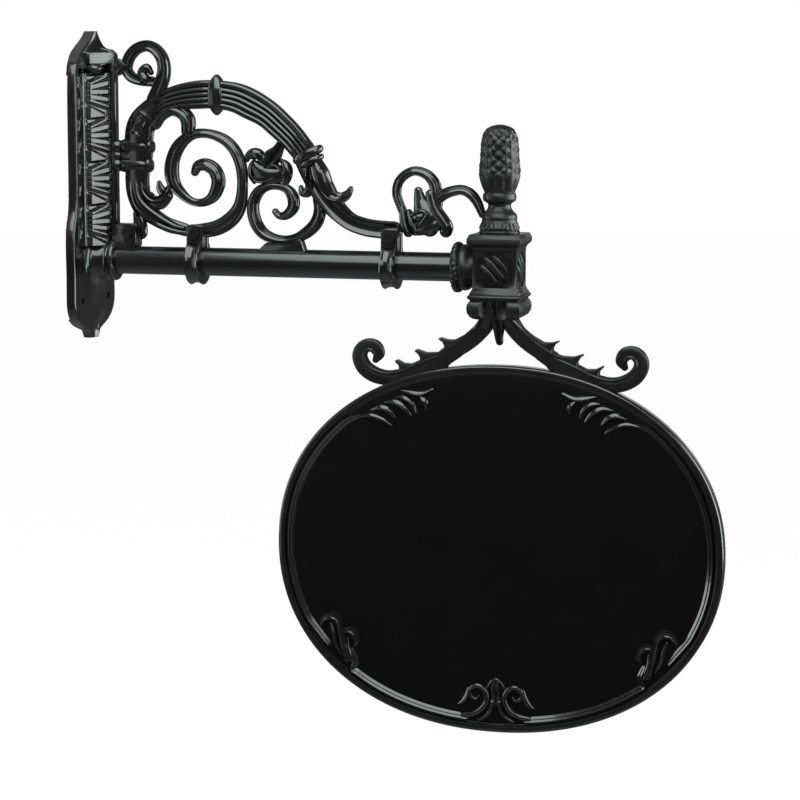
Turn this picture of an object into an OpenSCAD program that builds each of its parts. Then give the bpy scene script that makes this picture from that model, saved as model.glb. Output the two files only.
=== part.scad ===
// Oval facade sign on a cast wall bracket.
// X runs out from the wall, Y runs away from the viewer and Z is up.
// The origin is on the wall face, at the centre of the four screw holes.

/* [Wall plate] */
// Height of the wall plate between its two points
plate_h = 416; // [380:1:460]
// Width of the wall plate at its widest, near the bottom
plate_w = 152; // [140:1:170]
// Thickness of the plate, with its seating pad
plate_t = 15; // [12:0.5:20]
// Thickness of the raised pad that bears on the wall
pad_t = 3; // [2:0.5:5]
// Distance between the screw holes across the plate
hole_across = 96; // [88:1:102]
// Distance between the screw holes up the plate
hole_up = 308; // [280:1:320]
// Diameter of the screw holes
hole_d = 9; // [6:0.5:11]
// Height of the leaf relief above the plate face
relief_h = 25; // [18:1:28]
// Width of the leaf relief
relief_w = 114; // [100:1:118]
// Height of one tier of leaves
tier_h = 56; // [40:1:70]

/* [Arm] */
// Outside diameter of the arm tube
tube_d = 38; // [34:0.5:42]
// Wall thickness of the arm tube
tube_wall = 3; // [2:0.5:5]
// Height of the arm below the centre of the wall plate
tube_drop = 101; // [92:1:110]
// Outside diameter of the arm socket on the plate
socket_d = 56; // [54:0.5:60]
// Length of the arm socket in front of the plate
socket_len = 35; // [30:1:40]

/* [Scrollwork] */
// Distance from the wall to the front of the back bar
bar_x = 50; // [48:0.5:55]
// Thickness of the back bar
bar_t = 14; // [12:0.5:18]
// Thickness of the scrollwork over its raised fillets
scroll_t = 20; // [18:0.5:24]
// Thickness of the scrollwork at the edges of its strands
web_t = 10; // [8:0.5:14]
// Width of a full strand of scrollwork
strand_w = 18; // [16:0.5:19]
// Height of the scrollwork above the middle of the arm
scroll_h = 296.5; // [286:0.5:306]
// Thickness of the tongues that are bolted in the lugs
tongue_t = 12; // [10:0.5:14]

/* [Clamps] */
// Distance from the wall to the middle of the inner clamp
inner_x = 163; // [158:0.5:168]
// Distance from the wall to the middle of the outer clamp
outer_x = 434; // [430:0.5:438]
// Outside diameter of a clamp ring
clamp_d = 62; // [56:0.5:66]
// Length of a clamp along the arm
clamp_len = 20; // [16:0.5:24]
// Thickness of one clamp ear
ear_t = 7; // [5:0.5:9]
// Height of the clamp bolts above the middle of the arm
bolt_up = 38; // [36:0.5:40]
// Diameter of the clamp bolts
bolt_d = 8; // [6:1:10]

/* [Head] */
// Distance from the wall to the middle of the head box
head_x = 580; // [560:1:600]
// Width of the head box
box_w = 59; // [56:1:64]
// Height of the head box over its foot moulding
box_h = 63; // [60:1:70]
// Wall thickness of the head box
box_wall = 7; // [5:0.5:9]
// Depth of the sunk cross panels
panel_sink = 3; // [1:0.5:4]
// Width of the slab on the head box
cap_w = 72; // [70:1:80]
// Height of the slab with its moulding
cap_h = 21.5; // [18:0.5:26]
// Diameter of the ferrule at the end of the arm
flange_d = 67; // [60:1:69]
// Length of the ferrule along the arm
flange_len = 31; // [26:1:40]
// Height of the finial
finial_h = 141.5; // [130:0.5:160]
// Diameter of the pine cone at its widest
cone_d = 53.4; // [46:0.2:58]
// Diameter of the tie rod
rod_d = 12; // [8:0.5:14]

/* [Crown] */
// Width of the block under the head box
block_w = 72; // [70:1:76]
// Height of the block
block_h = 27; // [24:1:32]
// Thickness of the leaf arms over their middle
crown_t = 22; // [18:0.5:26]
// Distance from the middle of the head to the outer edge of a volute
crown_reach = 200; // [185:1:210]
// Diameter of the studs that hold the board
stud_d = 10; // [8:0.5:12]
// Distance of each stud from the middle of the head
stud_x = 112; // [100:1:125]

/* [Board] */
// Width of the oval board
board_w = 604; // [560:2:640]
// Height of the oval board
board_h = 493; // [461:2:521]
// Thickness of the board over both rims
board_t = 24; // [22:0.5:30]
// Height of the gap between the head block and the top of the board
board_gap = 62; // [58:0.5:66]
// Wall thickness of the field of each shell
field_t = 4; // [3:0.5:5]
// Depth of the field below the rim
field_sink = 3.5; // [2:0.5:5]
// Width of the raised outer rim
rim_w = 10; // [8:0.5:14]
// Distance from the board's edge to the middle of the bead
bead_in = 17; // [15:0.5:22]
// Width of the bead
bead_w = 6.5; // [5:0.5:9]
// Height of the bead above the field
bead_h = 3; // [2:0.5:5]
// Number of screws that join the two shells
board_screws_n = 10; // [6:2:14]

/* [Hidden] */
$fn = 48;
// A hair of overlap or clearance where a cut has to run past a face
eps = 0.5;
// Clearance of a sliding fit on its radius
fit = 0.15;
tube_r = tube_d / 2;
tube_z = -tube_drop;
// The arm goes this far into the socket and stops this far short of the box's far wall
tube_in = 3;
tube_x0 = plate_t + tube_in;
tube_x1 = head_x + box_w / 2 - box_wall - 1;
socket_x1 = plate_t + socket_len;
// The groove behind the ring at the mouth of the socket
ring_len = 10;
groove_len = 2;
groove_depth = 2.5;
groove_x = socket_x1 - ring_len - groove_len;
bolt_z = tube_z + bolt_up;
ear_out = tongue_t / 2 + ear_t;
// The ear of a clamp and of the socket stand this far past the bolt's middle
ear_top = 12;
ear_half = 12;
// The lug beside the socket has its bolt this far in front of the socket
lug_x = socket_x1 + 17;
nut_h = 6.5;
washer_t = 1.6;
head_h = 5.3;
// Width of a nut or a bolt head across its flats, in diameters of its thread
nut_ratio = 1.6;
// The scrollwork outline was set out on these lengths and stretches with the real ones
plan_bar = 50;
plan_neck = 555.5;
plan_rise = 296.5;
plan_strand = 18;
plan_tube = -101;
plan_cone = 53.4;
plan_finial = 142.5;
neck_r = 24.5 * cone_d / plan_cone;
run = (head_x - neck_r - bar_x) / (plan_neck - plan_bar);
rise = scroll_h / plan_rise;
fat = strand_w / plan_strand;
// Heights of the head pieces, from the middle of the arm
box_bottom = tube_z - 39;
box_top = box_bottom + box_h;
cap_top = box_top + cap_h;
block_bottom = box_bottom - block_h;
board_top = block_bottom - board_gap;
board_z = board_top - board_h / 2;
half_w = box_w / 2;
flange_x1 = head_x - half_w;
flange_x0 = flange_x1 - flange_len;
rod_z0 = block_bottom + 8;
rod_z1 = cap_top + 40;
round_fn = 64;

// Point on a smooth curve through b and c
function curve_at(a, b, c, d, t) =
    0.5 * (2 * b + (c - a) * t + (2 * a - 5 * b + 4 * c - d) * t * t + (3 * b - a - 3 * c + d) * t * t * t);
// Smooth open line through hand-set points, n steps from one to the next
function smooth(p, n) = let (m = len(p) - 1)
    [for (i = [0:m - 1]) for (j = [0:n - 1])
        curve_at(p[max(i - 1, 0)], p[i], p[i + 1], p[min(i + 2, m)], j / n), p[m]];
// Direction of a line at point i
function heading(p, i) = let (
    a = p[max(i - 1, 0)],
    b = p[min(i + 1, len(p) - 1)],
    v = [b[0] - a[0], b[1] - a[1]])
    v / norm(v);
function left_of(v) = [-v[1], v[0]];
function flat(q) = [q[0], q[1]];
// Outline of a band along line q of [x, z, half width], made k times as wide, with round ends
function band(q, k) = let (m = len(q) - 1, s = heading(q, 0), e = heading(q, m)) concat(
    [for (i = [0:m]) flat(q[i]) + left_of(heading(q, i)) * q[i][2] * k],
    [for (a = [60, 30, 0, -30, -60]) flat(q[m]) + (e * cos(a) + left_of(e) * sin(a)) * q[m][2] * k],
    [for (i = [m:-1:0]) flat(q[i]) - left_of(heading(q, i)) * q[i][2] * k],
    [for (a = [60, 30, 0, -30, -60]) flat(q[0]) - (s * cos(a) + left_of(s) * sin(a)) * q[0][2] * k]);
// Line beside line q, at share k of its half width, as a reed of share w
function reed(q, k, w) = [for (i = [0:len(q) - 1])
    let (c = flat(q[i]) + left_of(heading(q, i)) * q[i][2] * k) [c[0], c[1], q[i][2] * w]];
// Lays a set-out point on the real bracket
function place(q) = [bar_x + (q[0] - plan_bar) * run, tube_z + (q[1] - plan_tube) * rise, q[2] * fat];
function placed(p) = [for (q = p) place(q)];
function spot(x, z) = flat(place([x, z, 0]));

// Upright sheet: a drawing in X and Z, given thickness t about the middle plane
module sheet(t) {
    rotate([90, 0, 0]) linear_extrude(height = t, center = true) children();
}
// Bar along Y through point x, z
module pin(x, z, d, y0, y1) {
    translate([x, y0, z]) rotate([-90, 0, 0]) cylinder(d = d, h = y1 - y0);
}
// Bar along X from x0 to x1 at height z
module rod_x(x0, x1, z, d) {
    translate([x0, 0, z]) rotate([0, 90, 0]) cylinder(d = d, h = x1 - x0, $fn = round_fn);
}
// Hexagon prism along Y, af across its flats
module hex_y(x, z, af, y0, y1) {
    translate([x, y0, z]) rotate([-90, 0, 0]) cylinder(d = af / cos(30), h = y1 - y0, $fn = 6);
}
// Square moulding: the same half outline of [half width, z] on all four sides, about the head's axis
module square_moulding(p) {
    outline = concat(p, [for (i = [len(p) - 1:-1:0]) [-p[i][0], p[i][1]]]);
    reach = 2 * max([for (q = p) q[0]]) + 2 * eps;
    translate([head_x, 0, 0]) intersection() {
        sheet(reach) polygon(outline);
        rotate([0, 0, 90]) sheet(reach) polygon(outline);
    }
}
// Quarter round from point a to point b, hollow side towards the corner c
function quarter(a, b, c) = [for (t = [0:22.5:90]) c + (a - c) * cos(t) + (b - c) * sin(t)];

/* Wall plate */
// Half outline of the plate, [half width, z], from the top point down
plate_half = [[10, 207], [13, 201], [22, 194], [38, 187], [50, 178], [57, 166], [60, 150], [58, 100],
    [58, 0], [60, -30], [66, -45], [74, -60], [76, -90], [75, -120], [76, -150], [74, -165], [66, -178],
    [50, -187], [32, -193], [18, -197], [12, -203], [10, -208]];
plan_plate_w = 152;
plan_plate_h = 416;
function plate_side(s, inset) = [for (q = plate_half)
    [s * (q[0] * plate_w / plan_plate_w - inset), q[1] * (plate_h - 2 * inset) / plan_plate_h]];
// Plate outline as a slab from x0 to x1, its edge drawn in by inset
module plate_slab(x0, x1, inset) {
    left = plate_side(-1, inset);
    translate([x0, 0, 0]) rotate([90, 0, 90]) linear_extrude(height = x1 - x0)
        polygon(concat(plate_side(1, inset), [for (i = [len(left) - 1:-1:0]) left[i]]));
}
relief_z0 = tube_z + 22;
relief_n = 4;
relief_z1 = relief_z0 + relief_n * tier_h;
// Radius and axis of the round that gives the relief its width and height
relief_r = (relief_w * relief_w / 4 + relief_h * relief_h) / (2 * relief_h);
relief_cx = plate_t + relief_h - relief_r;
leaf_curl = 3;
// Half the angle that the leaves spread to about the axis of their round
leaf_spread = asin(relief_w / 2 / relief_r);
leaf_ribs = 6;
flute_r = relief_r * sin(leaf_spread / leaf_ribs) * 0.6;
// Flutes between the ribs of one tier, opening towards the tips of its leaves
module leaf_flutes() {
    for (k = [0:leaf_ribs - 1])
        rotate([0, 0, ((k + 0.5) / leaf_ribs * 2 - 1) * leaf_spread])
            translate([relief_r - leaf_curl, 0, tier_h * 0.12])
                cylinder(r1 = 1, r2 = flute_r, h = tier_h * 0.84);
}
// Tiers of leaves up the plate, each flared out at its tips
module leaf_tiers() {
    intersection() {
        translate([relief_cx, 0, 0]) for (i = [0:relief_n - 1]) translate([0, 0, relief_z0 + i * tier_h])
            difference() {
                rotate([0, 0, -90]) rotate_extrude($fn = round_fn)
                    polygon([[0, 0], [relief_r - leaf_curl * 2, 0], [relief_r - leaf_curl * 2, tier_h * 0.3],
                        [relief_r - leaf_curl, tier_h * 0.7], [relief_r, tier_h * 0.92],
                        [relief_r - 1, tier_h], [0, tier_h]]);
                leaf_flutes();
            }
        translate([plate_t - eps, -relief_w / 2, relief_z0])
            cube([relief_h + 2 * eps, relief_w, relief_z1 - relief_z0]);
    }
}
// Top block over the relief, whose crest sweeps from the bar up to the plate's point, [x, z]
end_block_top = [[50, 177], [44, 180.5], [36, 183], [30, 186], [25, 191], [21, 198], [17, 206], [10, 207]];
end_block_r = 14;
// Side view of the top block, as far as x1 from the wall
module end_block_drawing(x1) {
    polygon(concat([[pad_t, relief_z1 - eps], [x1, relief_z1 - eps]],
        [for (q = end_block_top) [min(q[0], x1), q[1] * plate_h / plan_plate_h]]));
}
// Seat for the back bar: the face that the casting is screwed to
bar_seat = plate_t + relief_h;
module wall_plate() {
    color("#17181a") difference() {
        union() {
            plate_slab(pad_t, plate_t, 0);
            plate_slab(0, pad_t, 8);
            leaf_tiers();
            sheet(2 * end_block_r) end_block_drawing(bar_seat);
            sheet(bar_t) end_block_drawing(bar_x);
            rod_x(plate_t - eps, groove_x, tube_z, socket_d);
            rod_x(groove_x, socket_x1 - ring_len, tube_z, socket_d - 2 * groove_depth);
            rod_x(socket_x1 - ring_len, socket_x1, tube_z, socket_d - 1);
            lug_ears(lug_x, socket_x1 - 6);
        }
        rod_x(tube_x0, socket_x1 + eps, tube_z, tube_d + 2 * fit);
        rod_x(socket_x1 - eps, lug_x + ear_half + eps, tube_z, tube_d + 2 * fit);
        pin(lug_x, bolt_z, bolt_d, -ear_out - eps, ear_out + eps);
        bar_slot();
        for (y = [-1, 1]) for (z = [-1, 1]) translate([-eps, y * hole_across / 2, z * hole_up / 2])
            rotate([0, 90, 0]) cylinder(d = hole_d, h = plate_t + 2 * eps);
        bracket_screw_holes(-eps);
        grub_hole(socket_grub_x, socket_d);
    }
}
// Pair of ears about the tongue, with the bolt at x and the root at x0
module lug_ears(x, x0) {
    for (s = [-1, 1]) translate([0, s * (tongue_t + ear_t) / 2, 0]) rotate([90, 0, 0])
        linear_extrude(height = ear_t, center = true)
            polygon([[x0, tube_z], [x0, bolt_z + ear_top], [x + ear_half - 3, bolt_z + ear_top],
                [x + ear_half, bolt_z + ear_top - 3], [x + ear_half, tube_z + tube_r * 0.8]]);
}
// Slot that keeps the relief clear of the back bar and the casting's first tongue
module bar_slot() {
    translate([bar_seat, -bar_t / 2, bar_z0 - eps])
        cube([bar_x - bar_seat + eps, bar_t, bar_z1 - bar_z0 + 2 * eps]);
}
bar_z0 = spot(0, -52)[1];
bar_z1 = spot(0, 176)[1];
screw_zs = [bar_z0 + 24, (bar_z0 + bar_z1) / 2, bar_z1 - 24];
screw_d = 6;
screw_head_d = 12;
screw_head_h = 3.3;
screw_end = bar_x - 3;
module bracket_screw_holes(x0) {
    for (z = screw_zs) {
        rod_x(x0, bar_seat + eps, z, screw_d);
        translate([0, 0, z]) rotate([0, 90, 0])
            cylinder(d1 = screw_head_d, d2 = screw_d, h = screw_head_h);
        rod_x(x0, 0, z, screw_head_d);
    }
}
module bracket_screws() {
    color("#5a5c60") for (z = screw_zs) {
        translate([0, 0, z]) rotate([0, 90, 0])
            cylinder(d1 = screw_head_d, d2 = screw_d, h = screw_head_h);
        rod_x(screw_head_h - eps, screw_end, z, screw_d);
    }
}

/* Arm */
grub_d = 8;
grub_dimple = 1.5;
socket_grub_x = plate_t + 12;
flange_grub_x = flange_x0 + 6;
// Threaded hole up into the arm from below, through a boss of diameter d
module grub_hole(x, d) {
    translate([x, 0, tube_z - d / 2 - eps]) cylinder(d = grub_d, h = d / 2 + eps);
}
module grub_dimple_cut(x) {
    translate([x, 0, tube_z - tube_r - eps]) cylinder(d = grub_d, h = grub_dimple + eps);
}
// The grub screws end this far inside the face of their boss, and have a hexagon socket
grub_sunk = 1;
grub_key = 4;
grub_key_depth = 4;
module grub_screws() {
    color("#5a5c60") for (g = [[socket_grub_x, socket_d], [flange_grub_x, flange_d - 2]])
        translate([g[0], 0, tube_z - g[1] / 2]) difference() {
            translate([0, 0, grub_sunk])
                cylinder(d = grub_d, h = g[1] / 2 - tube_r + grub_dimple - grub_sunk);
            cylinder(d = grub_key / cos(30), h = grub_sunk + grub_key_depth, $fn = 6);
        }
}
module arm_tube() {
    color("#1c1d1f") difference() {
        rod_x(tube_x0, tube_x1, tube_z, tube_d);
        rod_x(tube_x0 - eps, tube_x1 + eps, tube_z, tube_d - 2 * tube_wall);
        translate([head_x, 0, tube_z - tube_r - eps]) cylinder(d = rod_d + 2 * fit, h = tube_d + 2 * eps);
        grub_dimple_cut(socket_grub_x);
        grub_dimple_cut(flange_grub_x);
    }
}

/* Clamps */
clamp_rim = 4;
clamp_groove = 2;
module clamp(x) {
    color("#17181a") difference() {
        union() {
            rod_x(x - clamp_len / 2, x + clamp_len / 2, tube_z, clamp_d - 2 * clamp_groove);
            rod_x(x - clamp_len / 2, x - clamp_len / 2 + clamp_rim, tube_z, clamp_d);
            rod_x(x + clamp_len / 2 - clamp_rim, x + clamp_len / 2, tube_z, clamp_d);
            lug_ears(x, x - ear_half);
        }
        rod_x(x - clamp_len, x + clamp_len, tube_z, tube_d);
        translate([x - clamp_len, -tongue_t / 2, tube_z]) cube([2 * clamp_len, tongue_t, clamp_d]);
        pin(x, bolt_z, bolt_d, -ear_out - eps, ear_out + eps);
        for (y = [ear_out, -ear_out - ear_t]) translate([x - clamp_len, y, tube_z + tube_r * 0.8])
            cube([2 * clamp_len, ear_t, clamp_d]);
    }
}
module inner_clamp() {
    clamp(inner_x);
}
module outer_clamp() {
    clamp(outer_x);
}
bolt_xs = [lug_x, inner_x, outer_x];
module clamp_bolts() {
    color("#26282b") for (x = bolt_xs) {
        hex_y(x, bolt_z, bolt_d * nut_ratio, -ear_out - head_h, -ear_out);
        pin(x, bolt_z, bolt_d, -ear_out - eps, ear_out + washer_t + nut_h + 2);
    }
}
module clamp_washers() {
    color("#26282b") for (x = bolt_xs) difference() {
        pin(x, bolt_z, bolt_d * 2, ear_out, ear_out + washer_t);
        pin(x, bolt_z, bolt_d, ear_out - eps, ear_out + washer_t + eps);
    }
}
module clamp_nuts() {
    color("#26282b") for (x = bolt_xs) difference() {
        hex_y(x, bolt_z, bolt_d * nut_ratio, ear_out + washer_t, ear_out + washer_t + nut_h);
        pin(x, bolt_z, bolt_d, ear_out, ear_out + washer_t + nut_h + eps);
    }
}

/* Scrollwork: strands as [x, z, half width] on the set-out lengths */
top_curl = [[99, 152, 4], [93, 158, 6], [86, 152, 6], [90, 143, 8]];
top_loop = [[100, 140, 7], [86, 141, 7], [72, 145.5, 7.2], [65, 156, 7], [68, 171, 7.3],
    [79, 183, 7.6], [94, 187.5, 7.7], [107, 182, 7.8], [116, 169, 8], [117.5, 151, 8.5],
    [111, 132, 9], [103, 116, 9]];
left_leg = [[81, 40, 20], [81, 62, 21], [85, 82, 20.5], [99, 99, 18], [115, 113, 15.5], [132, 119, 16],
    [150, 121, 17.5]];
hook = [[104, 84, 9], [112, 95, 9], [126, 103, 9.5], [141, 100, 9.5], [151, 89, 10], [151, 74, 9]];
arch = [[140, 120, 16.5], [165, 122.5, 19], [192, 123, 19], [220, 118.5, 20], [240, 110, 20.5],
    [262, 98, 19], [280, 83, 18.5], [297, 67, 17.5], [313, 48, 16.5]];
arch_foot = [[311, 52, 16], [325, 25, 17.5], [338, 0, 17], [353, -22, 14.5], [375, -42, 12], [396, -50, 12],
    [416, -53, 12], [437, -54, 12]];
leaf_tip = [[109, 4, 3.5], [111, -4, 6], [117, -11, 7]];
lower_leaf = [[79, 26, 18], [78, 6, 17.5], [80, -12, 17], [87, -30, 15], [102, -43, 11], [118, -51, 10],
    [145, -58.5, 9]];
leaf_hook = [[96, -14, 6], [102, -24, 7], [112, -24, 7.5], [121, -13, 7.5]];
leaf_foot = [[74, -44, 9], [78, -58, 9], [80, -66, 8]];
big_spiral = [[160, 19, 5.5], [165, 27.5, 7.5], [177, 29, 9], [189, 21, 9.5], [193.5, 6.5, 9.5],
    [188, -10, 8.5], [178, -19, 6.5], [166, -22, 5.5], [154, -19.5, 5.5], [142, -11, 7], [131, 2, 9],
    [127, 18, 10],
    [129, 36, 9.5], [137, 53, 9], [150, 65.5, 7.5], [165, 71, 6.5], [184, 70, 6.5], [203, 62.5, 7.5],
    [216, 50, 8], [224, 34, 8], [227, 16, 7.5], [227, -4, 7.5], [223, -26, 9], [211, -43, 10.5],
    [190, -55.5, 10.5], [163, -60, 9.5]];
small_spiral = [[273, -33, 4], [278, -37.5, 5], [287, -37, 6.5], [295, -26, 7.5], [292, -9, 7],
    [278, 1.5, 4], [262, 0, 5.5], [248, -8, 7.5], [241, -25, 8], [245, -45, 8.5], [257, -62, 8],
    [278, -69.5, 6.5],
    [299, -68, 6.5], [317, -59, 8], [330, -46, 8.5], [335, -30, 8], [332, -14, 6.5]];
loop = [[454, -36, 5.5], [446.5, -22, 5], [440, -6, 4.8], [442, 8, 5], [451, 18.5, 5.5], [465, 24.5, 6.2],
    [481, 20.5, 6.9], [491.5, 9.5, 7.8], [495, -5, 8.3], [494, -20, 9], [490, -34, 10]];
small_arch = [[494, -14, 8], [503, -7, 7.5], [514, -2, 7.2], [529, 0.5, 6.8], [541, -4.5, 7],
    [550, -15, 6.5], [557, -31, 5]];
lily_back = [[230, 44, 1.5], [240, 47.5, 4.5], [250, 42, 9], [258, 25, 13]];
lily_side = [[234, 41, 2], [238, 28, 6], [240, 14, 8], [244, 2, 6]];
lily_front = [[289, 30, 3], [284, 21, 8], [272, 12, 12]];
lily_stem = [[279, 64, 8], [273, 50, 8.5], [267, 34, 11], [262, 14, 15], [268, -2, 10], [292, -5, 5]];
bud = [[467, 2, 1], [469, -10, 7], [472, -24, 13], [480, -38, 17], [490, -47, 11]];
bud_collar = [[453, -30, 6], [456, -46, 12], [462, -60, 5]];
bud_petals = [[466, -56, 3], [478, -50, 8], [492, -43, 10], [504, -44, 9], [506, -57, 5]];
calyx_left = [[306, 27, 1], [315, 13, 6], [322, -3, 8], [310, -4, 6.5]];
calyx_right = [[338, 39, 1], [345, 22, 3.5], [351, 4, 4.5], [362, -12, 8]];
calyx_spur = [[356, -16, 9], [366, -9, 8], [373, -3, 5.5]];
strands = [top_curl, top_loop, left_leg, hook, arch, arch_foot, leaf_tip, lower_leaf, leaf_hook,
    leaf_foot, big_spiral, small_spiral, loop, small_arch, lily_back, lily_side, lily_front, lily_stem,
    bud, bud_collar, bud_petals, calyx_left, calyx_right, calyx_spur];
steps = 2;
function drawn(p) = smooth(placed(p), steps);
// All strands at share k of their width, with the crotches between them filled to radius r
module strand_lines(k, r) {
    offset(r = -r, $fn = 16) offset(delta = r) for (p = strands) polygon(band(drawn(p), k));
}
crotch_r = 1.5;
reed_n = 5;
reed_pitch = 0.38;
module reeds() {
    for (i = [0:reed_n - 1]) polygon(band(reed(drawn(arch), (i - (reed_n - 1) / 2) * reed_pitch, 0.13), 1));
}
// Height of a ring's flat sides over the fillets of the strand that it crosses
collar_proud = 3;
// Raised ring across a strand at x, z, turned by a degrees, as high as 2 * r
module ring_collar(x, z, a, r, w) {
    p = spot(x, z);
    flare = w * 0.3;
    rim = [for (t = [-90:30:90]) [r - flare + flare * cos(t), w / 2 * sin(t)]];
    intersection() {
        translate([p[0], 0, p[1]]) rotate([0, a + 90, 0]) rotate_extrude($fn = round_fn)
            polygon(concat([[0, -w / 2]], rim, [[0, w / 2]]));
        translate([p[0] - 2 * r, -scroll_t / 2 - collar_proud, p[1] - 2 * r])
            cube([4 * r, scroll_t + 2 * collar_proud, 4 * r]);
    }
}
// Round bar across the left leg, from the back bar out to x1
module leg_roll(z, r, x1) {
    z1 = spot(0, z)[1];
    rod_x(bar_x - eps, spot(x1, 0)[0], z1, 2 * r);
}
// Foot that sits astride the arm under the small spiral, from one end to the other
saddle = [262, 313];
saddle_wall = 8.5;
saddle_w = 30;
module saddle_foot() {
    x0 = spot(saddle[0], 0)[0];
    x1 = spot(saddle[1], 0)[0];
    intersection() {
        rod_x(x0, x1, tube_z, tube_d + 2 * saddle_wall);
        translate([x0, -saddle_w / 2, tube_z + tube_r / 2]) cube([x1 - x0, saddle_w, tube_d]);
    }
}
// Lug that joins the top loop to the back bar
loop_lug_z = 160;
loop_lug_h = 26;
loop_lug_len = 12;
module loop_lug() {
    translate([bar_x - eps, -bar_t / 2, spot(0, loop_lug_z)[1] - loop_lug_h / 2])
        cube([loop_lug_len, bar_t, loop_lug_h]);
}
tongue_low = tube_z + tube_r + 1;
module tongues() {
    for (x = bolt_xs) translate([x - ear_half, -tongue_t / 2, tongue_low])
        cube([2 * ear_half, tongue_t, bolt_z + ear_top - tongue_low]);
}
// Room for the ears on both sides of each tongue
module ear_rooms() {
    for (x = bolt_xs) for (s = [-1, 1])
        translate([x - ear_half - 1, s > 0 ? tongue_t / 2 : -scroll_t, tube_z])
            cube([2 * ear_half + 2, scroll_t - tongue_t / 2, bolt_z + ear_top + 1 - tube_z]);
}
module scroll_bracket() {
    color("#141516") difference() {
        union() {
            difference() {
                union() {
                    sheet(web_t) strand_lines(1, crotch_r);
                    sheet(scroll_t) strand_lines(0.55, crotch_r / 2);
                    sheet(scroll_t + 2) reeds();
                    saddle_foot();
                    leg_roll(52.5, 10, 103);
                    leg_roll(27.5, 10, 101);
                    leg_roll(40, 8, 95);
                    ring_collar(192, 122.5, 0, 27.5, 19);
                    ring_collar(318, 43, 58, 22, 18);
                    ring_collar(454, -47, 45, 19, 10);
                    ring_collar(466, -36, 45, 15, 7);
                }
                ear_rooms();
            }
            tongues();
            translate([bar_seat, -bar_t / 2, bar_z0]) cube([bar_x - bar_seat, bar_t, bar_z1 - bar_z0]);
            loop_lug();
        }
        rod_x(bar_seat, head_x, tube_z, tube_d);
        for (x = bolt_xs) pin(x, bolt_z, bolt_d, -scroll_t, scroll_t);
        for (z = screw_zs) rod_x(bar_seat - eps, screw_end, z, screw_d);
        translate([head_x, 0, cap_top]) finial_body();
    }
}

/* Head */
module end_flange() {
    r = flange_d / 2;
    rope_w = 12;
    rope = [for (t = [-90:30:90]) [r - 5 + 5 * cos(t), rope_w / 2 * (1 + sin(t))]];
    step = [[r - 3, 14], [r - 3, 18], [r - 6, 22], [r - 8, 27], [r - 8.5, flange_len]];
    color("#17181a") difference() {
        translate([flange_x0, 0, tube_z]) rotate([0, 90, 0]) rotate_extrude($fn = round_fn)
            polygon(concat([[0, 0], [r - 6, 0]], rope, step, [[0, flange_len]]));
        rod_x(flange_x0 - eps, flange_x1 + eps, tube_z, tube_d);
        grub_hole(flange_grub_x, flange_d);
    }
}
cap_r = cap_w / 2;
block_r = block_w / 2;
foot_r = half_w + 5;
foot_h = 14;
cross_half = [[11.5, 23.5], [11.5, 14.5], [23.5, 14.5]];
// Stepped cross, its half size stretched with the box
module cross_drawing() {
    k = box_w / 60;
    square([2 * cross_half[0][0] * k, 2 * cross_half[0][1] * k], center = true);
    square([2 * cross_half[2][0] * k, 2 * cross_half[2][1] * k], center = true);
}
panel_z = box_bottom + foot_h + (box_h - foot_h) / 2;
// Half outlines of the head's square mouldings, [half width, z]
box_outline = concat(
    [[0, box_bottom], [foot_r, box_bottom], [foot_r + 1, box_bottom + 3], [foot_r, box_bottom + 5]],
    quarter([foot_r - 1, box_bottom + 6], [half_w, box_bottom + foot_h], [foot_r - 1, box_bottom + foot_h]),
    [[half_w, box_top], [0, box_top]]);
cove_top = box_top + 9.5;
cap_outline = concat(
    [[0, box_top], [half_w, box_top]],
    quarter([half_w + 1, box_top + 1], [cap_r - 1, cove_top], [cap_r - 1, box_top + 1]),
    [[cap_r, cove_top + 0.5], [cap_r, cap_top - 6], [cap_r - 3, cap_top], [0, cap_top]]);
block_low_r = block_r - 9;
block_outline = concat(
    [[0, block_bottom], [block_low_r, block_bottom]],
    quarter([block_low_r, block_bottom + 2], [block_r, block_bottom + 13], [block_low_r, block_bottom + 13]),
    [[block_r, box_bottom - 4], [foot_r, box_bottom - 2], [foot_r, box_bottom], [0, box_bottom]]);
module head_box() {
    color("#1a1b1d") difference() {
        square_moulding(box_outline);
        translate([head_x - half_w + box_wall, -half_w + box_wall, box_bottom + box_wall])
            cube([box_w - 2 * box_wall, box_w - 2 * box_wall, box_h]);
        rod_x(head_x - box_w, head_x, tube_z, tube_d);
        translate([head_x, 0, box_bottom - eps]) cylinder(d = rod_d + 2 * fit, h = box_wall + 2 * eps);
        for (s = [0, 1]) mirror([0, s, 0]) translate([head_x, half_w - panel_sink / 2 + eps, panel_z])
            sheet(panel_sink + 2 * eps) cross_drawing();
        translate([head_x + half_w - panel_sink / 2 + eps, 0, panel_z]) rotate([0, 0, 90])
            sheet(panel_sink + 2 * eps) cross_drawing();
    }
}
// The cap's spigot drops this far into the box
spigot_h = 2;
spigot_w = box_w - 2 * box_wall - 2 * fit;
module box_cap() {
    color("#1a1b1d") difference() {
        union() {
            square_moulding(cap_outline);
            translate([head_x - spigot_w / 2, -spigot_w / 2, box_top - spigot_h])
                cube([spigot_w, spigot_w, spigot_h + eps]);
        }
        translate([head_x, 0, box_top - spigot_h - eps])
            cylinder(d = rod_d + 2 * fit, h = cap_h + spigot_h + 2 * eps);
    }
}
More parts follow.
